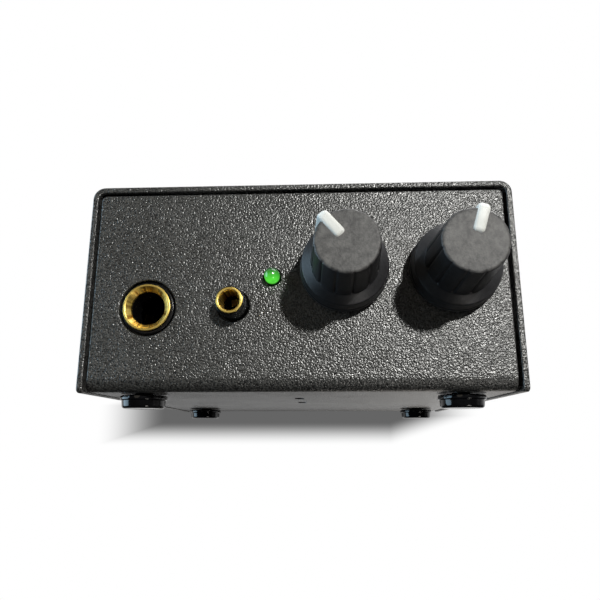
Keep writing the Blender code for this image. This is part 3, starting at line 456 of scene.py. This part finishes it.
def knob_plastic():
    # Black ABS with a soft-touch paint: satin on the sides, and its cap coloured lighter and duller than the
    # sides, in blotches. The paint's grain is drawn coarser than it is, so that it shows
    material, tree, shader, where = surface("soft_touch_abs", "1f1f20", 0.42)
    patches = {"Vector": where, "Scale": 1 / (1.1 * MM), "Detail": 2.5, "Roughness": 0.8}
    blotch = add(tree, "TexNoise", patches)
    blotch_mask = add(tree, "MapRange", {"Value": blotch.outputs[0], "From Min": 0.34, "From Max": 0.68})
    greyed = {"Factor": blotch_mask.outputs[0], "A": colour("333232"), "B": colour("5e5d5b")}
    cap_blotch_tones = add(tree, "Mix", greyed, data_type="RGBA")
    fresh = {"Factor": blotch_mask.outputs[0], "A": colour("202022"), "B": colour("2c2c2e")}
    side_blotch_tones = add(tree, "Mix", fresh, data_type="RGBA")
    # The cap's face takes the lighter, duller tones, and the sides the darker ones
    along = add(tree, "SeparateXYZ", {"Vector": where})
    face = FRONT - KNOB_HEIGHT * MM
    cap = add(tree, "MapRange", {"Value": along.outputs["Y"], "From Min": face + 0.35 * MM, "From Max": face})
    tones = {"Factor": cap.outputs[0], "A": side_blotch_tones.outputs["Result"], "B": cap_blotch_tones.outputs["Result"]}
    tint = add(tree, "Mix", tones, data_type="RGBA")
    gloss = add(tree, "MapRange", {"Value": cap.outputs[0], "To Min": 0.42, "To Max": 0.56})
    grain = add(tree, "TexNoise", {"Vector": where, "Scale": 1 / (0.3 * MM), "Detail": 2.0})
    bump = add(tree, "Bump", {"Height": grain.outputs[0], "Distance": 0.03 * MM})
    tree.links.new(tint.outputs["Result"], shader.inputs["Base Color"])
    tree.links.new(gloss.outputs[0], shader.inputs["Roughness"])
    tree.links.new(bump.outputs[0], shader.inputs["Normal"])
    return material


def mottled(name, light, dark, roughness, size, relief, sockets=()):
    """A moulded, cast or rolled finish: two tones in soft blotches of a size, with a faint relief."""
    material, tree, shader, where = surface(name, light, roughness, sockets)
    patches = {"Vector": where, "Scale": 1 / (size * MM), "Detail": 3.0, "Roughness": 0.55}
    blotch = add(tree, "TexNoise", patches)
    tone = add(tree, "MapRange", {"Value": blotch.outputs[0], "From Min": 0.35, "From Max": 0.65})
    tones = {"Factor": tone.outputs[0], "A": colour(light), "B": colour(dark)}
    tint = add(tree, "Mix", tones, data_type="RGBA")
    bump = add(tree, "Bump", {"Height": blotch.outputs[0], "Distance": relief * MM})
    sheen = {"Value": blotch.outputs[0], "From Min": 0.3, "From Max": 0.7}
    gloss = add(tree, "MapRange", {**sheen, "To Min": 0.85 * roughness, "To Max": 1.15 * roughness})
    tree.links.new(tint.outputs["Result"], shader.inputs["Base Color"])
    tree.links.new(gloss.outputs[0], shader.inputs["Roughness"])
    tree.links.new(bump.outputs[0], shader.inputs["Normal"])
    return material


def turned_metal(name, light, dark, roughness):
    """A plated part turned on a lathe: rings of tool marks, painted reflection in light and dark spokes, and
    a painted highlight on its end faces.

    The tool marks are drawn coarser than they are, so that they show.
    """
    material, tree, shader, _ = surface(name, light, roughness, {"Metallic": 1.0, "Anisotropic": 0.4})
    turning = add(tree, "Attribute", attribute_name=TURNING)
    parts = add(tree, "SeparateXYZ", {"Vector": turning.outputs["Vector"]})
    tangent = add(tree, "CombineXYZ", {"X": parts.outputs["X"], "Z": parts.outputs["Y"]})
    ring = add(tree, "CombineXYZ", {"X": parts.outputs["Z"]})
    marks = add(tree, "TexNoise", {"Vector": ring.outputs[0], "Scale": 1 / 0.16, "Detail": 2.0})
    # Painted reflection: light and dark spokes round the axis, from a noise on each point's spoke
    spokes = add(tree, "CombineXYZ", {"X": parts.outputs["X"], "Y": parts.outputs["Y"]})
    streak_settings = {"Vector": spokes.outputs[0], "Scale": 3.5, "Detail": 2.0, "Roughness": 0.6}
    painted_streak_noise = add(tree, "TexNoise", streak_settings)
    spoke = add(tree, "MapRange", {"Value": painted_streak_noise.outputs[0], "From Min": 0.38, "From Max": 0.6})
    # Painted highlight: the end faces, which look along the axis, take the light tone
    facing = add(tree, "SeparateXYZ", {"Vector": add(tree, "NewGeometry").outputs["Normal"]})
    outward = add(tree, "Math", {0: facing.outputs["Y"]}, operation="ABSOLUTE")
    rim = add(tree, "MapRange", {"Value": outward.outputs[0], "From Min": 0.72, "From Max": 0.85})
    tone = add(tree, "Math", {0: spoke.outputs[0], 1: rim.outputs[0]}, operation="MAXIMUM")
    tones = {"Factor": tone.outputs[0], "A": colour(dark), "B": colour(light)}
    tint = add(tree, "Mix", tones, data_type="RGBA")
    worn, fresh = 1.15 * roughness, 0.85 * roughness
    gloss = add(tree, "MapRange", {"Value": marks.outputs[0], "To Min": worn, "To Max": fresh})
    bump = add(tree, "Bump", {"Height": marks.outputs[0], "Distance": 0.008 * MM})
    tree.links.new(tint.outputs["Result"], shader.inputs["Base Color"])
    tree.links.new(gloss.outputs[0], shader.inputs["Roughness"])
    tree.links.new(bump.outputs[0], shader.inputs["Normal"])
    tree.links.new(tangent.outputs[0], shader.inputs["Tangent"])
    return material


def lens_epoxy():
    # Tinted cast epoxy that glows green, in milky patches. Its glow and tint are painted brighter towards the
    # bottom, as painted light that the lens takes in at the top, and painted dark where it sits in the panel
    polished = {"Coat Weight": 1.0, "Coat Roughness": 0.03, "Emission Strength": 1.0}
    material, tree, shader, where = surface("tinted_epoxy", "103a14", 0.3, polished)
    centre = UNDERSIDE + INDICATOR[1] * MM
    top, foot = centre + 1.0 * MM, centre - 1.1 * MM
    along = add(tree, "SeparateXYZ", {"Vector": where})
    # Painted light: the glow and the tint grow from the top of the lens to its foot
    low = add(tree, "MapRange", {"Value": along.outputs["Z"], "From Min": top, "From Max": foot})
    cloud = add(tree, "TexNoise", {"Vector": where, "Scale": 1 / (0.7 * MM)})
    haze = {"Value": cloud.outputs[0], "From Min": 0.2, "From Max": 0.6, "To Min": 0.75}
    milk = add(tree, "MapRange", haze)
    depth = add(tree, "Math", {0: low.outputs[0], 1: milk.outputs[0]}, operation="MULTIPLY")
    lights = {"Factor": depth.outputs[0], "A": colour("0a4616"), "B": colour("5ae640")}
    glow = add(tree, "Mix", lights, data_type="RGBA")
    # Painted shade: the glow goes dark where the lens sits in the panel
    proud = {"Value": along.outputs["Y"], "From Min": FRONT, "From Max": FRONT - 0.7 * MM}
    out = add(tree, "MapRange", proud)
    painted_recess_shade = {"Factor": out.outputs[0], "A": colour("020602"), "B": glow.outputs["Result"]}
    lit = add(tree, "Mix", painted_recess_shade, data_type="RGBA")
    tones = {"Factor": depth.outputs[0], "A": colour("0c2a10"), "B": colour("1d5a1f")}
    tint = add(tree, "Mix", tones, data_type="RGBA")
    tree.links.new(tint.outputs["Result"], shader.inputs["Base Color"])
    tree.links.new(lit.outputs["Result"], shader.inputs["Emission Color"])
    return material


def board_laminate():
    # Glass-fibre laminate under green solder mask: the weave shows faintly, and tracks stand a little proud
    material, tree, shader, where = surface("masked_laminate", "1f5c38", 0.35)
    threads = {"Color1": colour("1d5735"), "Color2": colour("225f3c")}
    weave = add(tree, "TexChecker", {"Vector": where, "Scale": 1 / (0.6 * MM), **threads})
    copper = {"Color1": colour("2c7a4c"), "Color2": colour("2c7a4c"), "Mortar": (0, 0, 0, 1)}
    tracks = add(tree, "TexBrick", {"Vector": where, "Scale": 1 / (6 * MM), **copper, "Mortar Size": 0.06})
    tones = {"Factor": 0.3, "A": weave.outputs[0], "B": tracks.outputs[0]}
    tint = add(tree, "Mix", tones, data_type="RGBA")
    bump = add(tree, "Bump", {"Height": tracks.outputs["Fac"], "Distance": 0.05 * MM})
    tree.links.new(tint.outputs["Result"], shader.inputs["Base Color"])
    tree.links.new(bump.outputs[0], shader.inputs["Normal"])
    return material


def make_finishes():
    """One finish for each material slot of the record."""
    metal = {"Metallic": 1.0}
    dull = {"Specular IOR Level": 0.3}
    return {
        "powder_coat": powder_coat(),
        "knob_plastic": knob_plastic(),
        # Black zinc plate on rolled steel: satin, with a blue cast
        "black_steel": mottled("black_zinc_steel", "303134", "222326", 0.38, 1.2, 0.01, metal),
        # Moulded thermoplastic rubber with a polished die: near mirror, slightly wavy
        "foot_rubber": mottled("glossy_rubber", "0b0b0c", "131315", 0.09, 2.5, 0.08),
        # White ABS insert: satin, faintly soiled
        "pointer_plastic": mottled("white_abs", "e2e4e0", "d8dad5", 0.6, 2.0, 0.01),
        # Glass-filled nylon: dull black with a fine grain
        "black_nylon": mottled("black_nylon", "0a0a0b", "101011", 0.28, 0.5, 0.02, dull),
        # Gold flash on turned brass: warm yellow, with painted reflection in brown and yellow spokes and a
        # painted highlight on its end faces
        "gilt": turned_metal("gilt_brass", "ffe07c", "9c6e28", 0.36),
        # Nickel plate on turned brass: bright, slightly warm grey, with the same painted spokes and end-face
        # highlight
        "nickel": turned_metal("nickel_plate", "cfcac0", "a9a59c", 0.2),
        # Rolled spring brass: warm, with faint rolling stains
        "spring_brass": mottled("spring_brass", "e2cf9e", "cdb274", 0.6, 1.5, 0.01, metal),
        # Dipped tin: bright grey, uneven
        "tinned": mottled("tin_plate", "c6c8ca", "a3a6aa", 0.32, 0.8, 0.02, metal),
        # Die-cast zinc: grey and grainy
        "zinc": mottled("cast_zinc", "a9aaa8", "8f908f", 0.45, 0.6, 0.02, metal),
        # Turned aluminium bar: pale grey with a soft sheen
        "shaft_aluminium": mottled("turned_aluminium", "c3c4c5", "adaeb0", 0.33, 0.7, 0.01, metal),
        # Zinc-plated steel sheet: grey, lightly clouded
        "pot_can": mottled("plated_sheet", "b9babb", "9d9fa1", 0.38, 1.8, 0.01, metal),
        "lens_green": lens_epoxy(),
        "board": board_laminate(),
        # Moulded epoxy with mineral filler: dull and speckled
        "chip_epoxy": mottled("chip_epoxy", "1d1d1f", "2a2a2c", 0.55, 0.3, 0.02),
        # Shrunk polyester sleeve: glossy, taut
        "capacitor_sleeve": mottled("shrunk_sleeve", "20222a", "282b35", 0.3, 3.0, 0.02),
        # Moulded polypropylene in two colours: satin and even
        "white_plastic": mottled("white_polypropylene", "e4e2dc", "d8d6ce", 0.38, 1.5, 0.02),
        "red_plastic": mottled("red_polypropylene", "b3261e", "a01f19", 0.38, 1.5, 0.02),
    }


def make_tray(material):
    """Front panel, floor and rear panel from one sheet, with side flanges, holes and slots."""
    half, top = TRAY_HIGH.x, TRAY_HIGH.z
    line = ((FRONT, top), (FRONT, UNDERSIDE), (REAR, UNDERSIDE), (REAR, top))
    shape = folded(line, 0, -half, half, TRAY_BEND)
    shape = thickened(shape, [vertex for vertex in shape.verts if vertex.co.z > top - WELD])
    flanges = []
    for _, sign in SIDES:
        across = sorted(sign * (half / MM - FLANGE["inset"] - step) for step in (0, SHEET))
        low = (across[0] * MM, FRONT + FLANGE["start"] * MM, UNDERSIDE + SHEET / 2 * MM)
        high = (across[1] * MM, FRONT + FLANGE["end"] * MM, UNDERSIDE + FLANGE["height"] * MM)
        flanges.append(block(low, high))
    holes = [
        drill(at_front(PHONE_JACK), HOLE["phone"]),
        drill(at_front(MINI_JACK), HOLE["mini"]),
        drill(at_front(INDICATOR), HOLE["lens"], LENS_LIP),
        drill(at_rear(POWER), HOLE["power"]),
    ]
    holes += [drill(at_front(place), HOLE["control"]) for place, _ in KNOBS.values()]
    holes += [drill(at_rear(place), HOLE["input"]) for place in INPUTS.values()]
    for across, along in FEET.values():
        for _, sign in SIDES:
            spot = Vector((sign * across * MM, FRONT + along * MM, UNDERSIDE))
            downwards = Matrix.Translation(spot) @ Matrix.Rotation(math.pi, 4, "X")
            holes.append(drill(downwards, HOLE["foot"]))
    width, length = SLOT_SIZE
    for across, along in FLOOR_SLOTS:
        low = (across - width / 2, FRONT / MM + along - length / 2, UNDERSIDE / MM - SHEET)
        high = (across + width / 2, FRONT / MM + along + length / 2, UNDERSIDE / MM + 2 * SHEET)
        slot = block(Vector(low) * MM, Vector(high) * MM)
        upright = [edge for edge in slot.edges if abs(edge.verts[0].co.z - edge.verts[1].co.z) > WELD]
        rounded(slot, upright, SLOT_ROUNDING, SLOT_STEPS)
        holes.append(slot)
    shown("chassis_tray", carved(shape, flanges, holes), material, True)


def make_cover(material):
    """Top and sides from one sheet, flush with the front and rear panels."""
    left, right, low, top = COVER_LOW.x, COVER_HIGH.x, COVER_LOW.z, COVER_HIGH.z
    shape = folded(((left, low), (left, top), (right, top), (right, low)), 1, FRONT, REAR, COVER_BEND)
    shape = thickened(shape, [vertex for vertex in shape.verts if vertex.co.z < low + WELD])
    holes = [
        drill(at_side(sign, place), HOLE["screw"]) for _, sign in SIDES for place in COVER_SCREWS.values()
    ]
    shown("top_cover", carved(shape, (), holes), material, True)


def make_knob(name, material):
    """Skirted knob with a fluted body."""
    shape = turned(KNOB_OUTLINE, LOBES * STEPS_PER_LOBE)
    pitch = math.tau / LOBES
    for vertex in shape.verts:
        radius = math.hypot(vertex.co.x, vertex.co.y)
        if vertex.co.z < KNOB_BODY_FOOT * MM or radius < KNOB_RIM * MM:
            continue
        turn = math.atan2(vertex.co.x, vertex.co.y) / pitch
        from_groove = min(1.0, 2 * abs(turn - round(turn)) / GROOVE_SHARE)
        runout = min(1.0, GROOVE_LEAST + (KNOB_HEIGHT - vertex.co.z / MM) / GROOVE_RUNOUT)
        inset = GROOVE_DEPTH * MM * runout * (1 - from_groove) ** 2 / radius
        vertex.co.x *= 1 - inset
        vertex.co.y *= 1 - inset
    shown(f"{name}_knob", placed(shape, at_knob(name)), material)


def make_pointer(name, material):
    """Fin let into a knob's cap and side, with its brow and its outer edges rounded."""
    fin = prism(POINTER_OUTLINE, POINTER_WIDTH / 2)
    (inner, top), brow = POINTER_OUTLINE[0], Vector((0, *POINTER_OUTLINE[-1])) * MM

    def at_brow(vertex):
        return (vertex.co - brow).yz.length < WELD

    brow_edges = [edge for edge in fin.edges if all(map(at_brow, edge.verts))]
    rounded(fin, brow_edges, POINTER_BROW, POINTER_BROW_STEPS)

    def outside(vertex):
        out, height = vertex.co.yz / MM
        return height > top - PICK or out < inner + PICK or out > brow.y / MM - POINTER_BROW - PICK

    def lengthwise(edge):
        return edge.verts[0].co.x * edge.verts[1].co.x > 0

    def tail(edge):
        return all(v.co.y < (inner + PICK) * MM and v.co.z > (top - PICK) * MM for v in edge.verts)

    outer = [edge for edge in fin.edges if all(map(outside, edge.verts))]
    rounded(fin, [edge for edge in outer if lengthwise(edge) or tail(edge)], POINTER_EDGE, CORNER_STEPS)
    shown(f"{name}_pointer", placed(fin, at_knob(name)), material)


def make_housing(node, place, body, nose, bore, material, rear=False):
    """Moulded socket body behind a panel, with a round nose through it and a bore."""
    stand, up = (at_rear(place), -1) if rear else (at_front(place), 1)
    half, face = body["half"] * MM, (SHEET + SLACK) * MM
    bottom, top = sorted(up * (body[side] - place[1]) for side in ("low", "high"))
    low = (-half, bottom * MM, -face - body["depth"] * MM)
    shape = block(low, (half, top * MM, -face), HOUSING_EDGE)
    cuts = [turned(bore)]
    if "cavity" in body:
        wide, tall = body["cavity"]
        front_wall, back_wall = body["walls"]
        deep = -face + (back_wall - body["depth"]) * MM
        cuts.append(block((-wide * MM, -tall * MM, deep), (wide * MM, tall * MM, -face - front_wall * MM)))
    shown(node, placed(carved(shape, [turned(nose)], cuts), stand), material)


def make_sockets(finishes):
    """Front headphone sockets, indicator, rear inputs and power inlet."""
    nylon = finishes["black_nylon"]
    make_housing("phone_jack_housing", PHONE_JACK, PHONE_BODY, PHONE_NOSE, PHONE_BORE, nylon)
    make_housing("mini_jack_housing", MINI_JACK, MINI_BODY, MINI_NOSE, MINI_BORE, nylon)
    make_housing("power_inlet", POWER, POWER_BODY, POWER_NOSE, POWER_BORE, nylon, rear=True)
    shown("phone_jack_ferrule", placed(turned(PHONE_FERRULE), at_front(PHONE_JACK)), finishes["gilt"])
    shown("mini_jack_ferrule", placed(turned(MINI_FERRULE), at_front(MINI_JACK)), finishes["gilt"])
    shown("led_lens", placed(turned(LENS_OUTLINE), at_front(INDICATOR)), finishes["lens_green"])
    shown("power_inlet_pin", placed(turned(POWER_PIN), at_rear(POWER)), finishes["nickel"])
    inserts = {"left": finishes["white_plastic"], "right": finishes["red_plastic"]}
    for side, place in INPUTS.items():
        shown(f"input_shell_{side}", placed(turned(SHELL_OUTLINE), at_rear(place)), finishes["nickel"])
        shown(f"input_insert_{side}", placed(turned(INSERT_OUTLINE), at_rear(place)), inserts[side])


def make_feet(material):
    """Push-in feet, which stand on the table."""
    for end, (across, along) in FEET.items():
        for side, sign in SIDES:
            spot = Matrix.Translation((sign * across * MM, FRONT + along * MM, 0))
            shown(f"foot_{end}_{side}", placed(turned(FOOT_OUTLINE), spot), material)


def make_cover_screws(material):
    """Pan-head screws with a cross recess in the cover's sides."""
    arm, groove, floor, reach = (RECESS[part] for part in ("arm", "groove", "floor", "reach"))
    for side, sign in SIDES:
        for end, place in COVER_SCREWS.items():
            cross = [
                block(Vector((-wide, -tall, floor)) * MM, Vector((wide, tall, reach)) * MM)
                for wide, tall in ((arm, groove), (groove, arm))
            ]
            shape = carved(turned(SCREW_OUTLINE, SCREW_STEPS), (), cross)
            shown(f"cover_screw_{side}_{end}", placed(shape, at_side(sign, place, SLACK)), material)


def make_sheet(name, half_size, stand, material, front, seen):
    """Flat sheet of the stage. Its front shows to some rays. To the others, and from behind, it is clear."""
    tree = material.node_tree
    behind = add(tree, "NewGeometry").outputs["Backfacing"]
    facing = add(tree, "Math", {0: 1.0, 1: behind}, operation="SUBTRACT")
    visible = add(tree, "Math", {0: facing.outputs[0], 1: seen}, operation="MULTIPLY")
    clear = add(tree, "BsdfTransparent")
    both = add(tree, "MixShader", {0: visible.outputs[0], 1: clear.outputs[0], 2: front})
    tree.links.new(both.outputs[0], tree.nodes["Material Output"].inputs["Surface"])
    shape = bmesh.new()
    bmesh.ops.create_grid(shape, x_segments=1, y_segments=1, size=half_size * MM, matrix=stand)
    mesh = bpy.data.meshes.new(name)
    shape.to_mesh(mesh)
    shape.free()
    mesh.materials.append(material)
    sheet = bpy.data.objects.new(name, mesh)
    sheet.visible_shadow = False
    bpy.context.scene.collection.objects.link(sheet)


def make_floor():
    """Pale floor, matt and faintly dusty, that fades out into the white surroundings."""
    # The camera looks up from a little below the floor, so the floor shows only to what looks down on it
    material, tree, shader, where = surface("pale_floor", "f1f1ef", 0.8)
    dust = add(tree, "TexNoise", {"Vector": where, "Scale": 1 / (40 * MM)})
    tones = {"Factor": dust.outputs[0], "A": colour("eeeeec"), "B": colour("f5f5f4")}
    tint = add(tree, "Mix", tones, data_type="RGBA")
    tree.links.new(tint.outputs["Result"], shader.inputs["Base Color"])
    away = add(tree, "VectorMath", {0: where}, operation="LENGTH")
    start, end = FLOOR_FADE
    fade = {"Value": away.outputs["Value"], "From Min": end * MM, "From Max": start * MM}
    near = add(tree, "MapRange", fade)
    direct = add(tree, "LightPath").outputs["Is Camera Ray"]
    seen = add(tree, "Math", {0: direct, 1: near.outputs[0]}, operation="MULTIPLY")
    make_sheet("floor", FLOOR_HALF, Matrix(), material, shader.outputs[0], seen.outputs[0])


def make_card():
    """White card behind the case, with a painted shadow of the case on it."""
    # The shadow is painted: grey where its light would have to come through the case; the longer the way
    # through, the darker
    material, tree, _, where = surface("pale_card", "ffffff", 0.9)
    ends = []
    for corner, order in (
        ((COVER_LOW.x, REAR, UNDERSIDE), "MAXIMUM"),
        ((COVER_HIGH.x + CARD_SPREAD * MM, FRONT, UNDERSIDE + CARD_TALL * MM), "MINIMUM"),
    ):
        gap = add(tree, "VectorMath", {0: corner, 1: where}, operation="SUBTRACT")
        way = add(tree, "VectorMath", {0: gap.outputs[0], 1: CARD_LIGHT}, operation="DIVIDE")
        parts = add(tree, "SeparateXYZ", {"Vector": way.outputs[0]})
        flat = add(tree, "Math", {0: parts.outputs["X"], 1: parts.outputs["Y"]}, operation=order)
        end = add(tree, "Math", {0: flat.outputs[0], 1: parts.outputs["Z"]}, operation=order)
        ends.append(end.outputs[0])
    through = add(tree, "Math", {0: ends[1], 1: ends[0]}, operation="SUBTRACT")
    dark = {"Value": through.outputs[0], "From Max": CARD_REACH * MM, "To Min": 1.0, "To Max": CARD_DARKEST}
    painted_case_shadow = add(tree, "MapRange", dark, interpolation_type="SMOOTHSTEP")
    path = add(tree, "LightPath")
    direct, glossy = path.outputs["Is Camera Ray"], path.outputs["Is Glossy Ray"]
    # Painted reflection: gloss sees the card dark below the case and light higher up
    height = add(tree, "SeparateXYZ", {"Vector": where})
    (low, dim), (high, bright) = CARD_GLOSS
    rise = {"Value": height.outputs["Z"], "From Min": low * MM, "From Max": high * MM}
    near = add(tree, "MapRange", {**rise, "To Min": dim, "To Max": bright})
    level = add(tree, "Math", {0: near.outputs[0], 1: direct}, operation="MAXIMUM")
    glow = add(tree, "Emission", {"Color": painted_case_shadow.outputs[0], "Strength": level.outputs[0]})
    seen = add(tree, "Math", {0: direct, 1: glossy}, operation="MAXIMUM")
    stand = Matrix.Translation((0, CAD_BOX[1].y + CARD_GAP * MM, 0)) @ Matrix.Rotation(QUARTER, 4, "X")
    make_sheet("card", CARD_HALF, stand, material, glow.outputs[0], seen.outputs[0])


def make_surroundings():
    """White surroundings, and the room that lights the case and shows in its gloss."""
    world = bpy.data.worlds.new("studio")
    bpy.context.scene.world = world
    world.use_nodes = True
    tree = world.node_tree
    path = add(tree, "LightPath")
    straight = {0: path.outputs["Is Camera Ray"], 1: path.outputs["Is Transmission Ray"]}
    direct = add(tree, "Math", straight, operation="MAXIMUM")
    # The room is dim in front of the panel, dark below it and light behind it. What gloss shows of it is
    # whiter, and broken up by dark things
    around = add(tree, "TexCoord").outputs["Generated"]
    towards = add(tree, "SeparateXYZ", {"Vector": around})
    back = {"Value": towards.outputs["Y"], "From Min": -0.45, "From Max": 0.35, "To Min": 0.02, "To Max": 0.8}
    room = add(tree, "MapRange", back)
    white = add(tree, "MapRange", {"Value": towards.outputs["Y"], "From Min": -0.45, "From Max": 0.0})
    things = add(tree, "TexNoise", {"Vector": around, "Scale": 4.0, "Detail": 1.0})
    breaks = {"Value": things.outputs[0], "From Min": 0.42, "From Max": 0.58, "To Min": 0.3, "To Max": 1.2}
    gaps = add(tree, "MapRange", breaks)
    shine = add(tree, "Math", {0: white.outputs[0], 1: gaps.outputs[0]}, operation="MULTIPLY")
    kinds = {"Factor": path.outputs["Is Glossy Ray"], "A": room.outputs[0], "B": shine.outputs[0]}
    lit = add(tree, "Mix", kinds)
    above = add(tree, "MapRange", {"Value": towards.outputs["Z"], "From Min": -0.35, "From Max": 0.05})
    lit = add(tree, "Math", {0: lit.outputs[0], 1: above.outputs[0]}, operation="MULTIPLY")
    level = add(tree, "Math", {0: lit.outputs[0], 1: direct.outputs[0]}, operation="MAXIMUM")
    tree.links.new(level.outputs[0], tree.nodes["Background"].inputs["Color"])


def make_lamps():
    """Round soft lamps, all turned to the front panel."""
    target = Vector((0, FRONT, UNDERSIDE + LAMP_AIM * MM))
    for name, (towards, distance, size, power, tint) in LAMPS.items():
        light = bpy.data.lights.new(name, "AREA")
        light.shape = "DISK"
        light.size = size
        light.energy = power
        light.color = colour(tint)[:3]
        lamp = bpy.data.objects.new(name, light)
        lamp.location = target + distance * Vector(towards).normalized()
        lamp.rotation_euler = Vector(towards).to_track_quat("Z", "Y").to_euler()
        bpy.context.scene.collection.objects.link(lamp)


def make_camera():
    """The camera, and the plain view of colours."""
    optics = bpy.data.cameras.new("camera")
    optics.lens = LENS
    optics.sensor_width = SENSOR
    optics.clip_start = CAMERA_NEAR * MM
    camera = bpy.data.objects.new("camera", optics)
    camera.location = Vector(CAMERA_PLACE) * MM
    camera.rotation_euler = Euler([math.radians(angle) for angle in CAMERA_TURN])
    bpy.context.scene.collection.objects.link(camera)
    bpy.context.scene.camera = camera
    bpy.context.scene.view_settings.view_transform = "Standard"


def main():
    """Dresses the solids, puts the finer pieces in their places and sets the stage."""
    finishes = make_finishes()
    for node, solid in frame["nodes"].items():
        solid.data.materials.clear()
        solid.data.materials.append(finishes[SLOT_OF[node]])
    make_tray(finishes["powder_coat"])
    make_cover(finishes["powder_coat"])
    for name in KNOBS:
        make_knob(name, finishes["knob_plastic"])
        make_pointer(name, finishes["pointer_plastic"])
    make_sockets(finishes)
    make_feet(finishes["foot_rubber"])
    make_cover_screws(finishes["black_steel"])
    make_floor()
    make_card()
    make_surroundings()
    make_lamps()
    make_camera()


main()
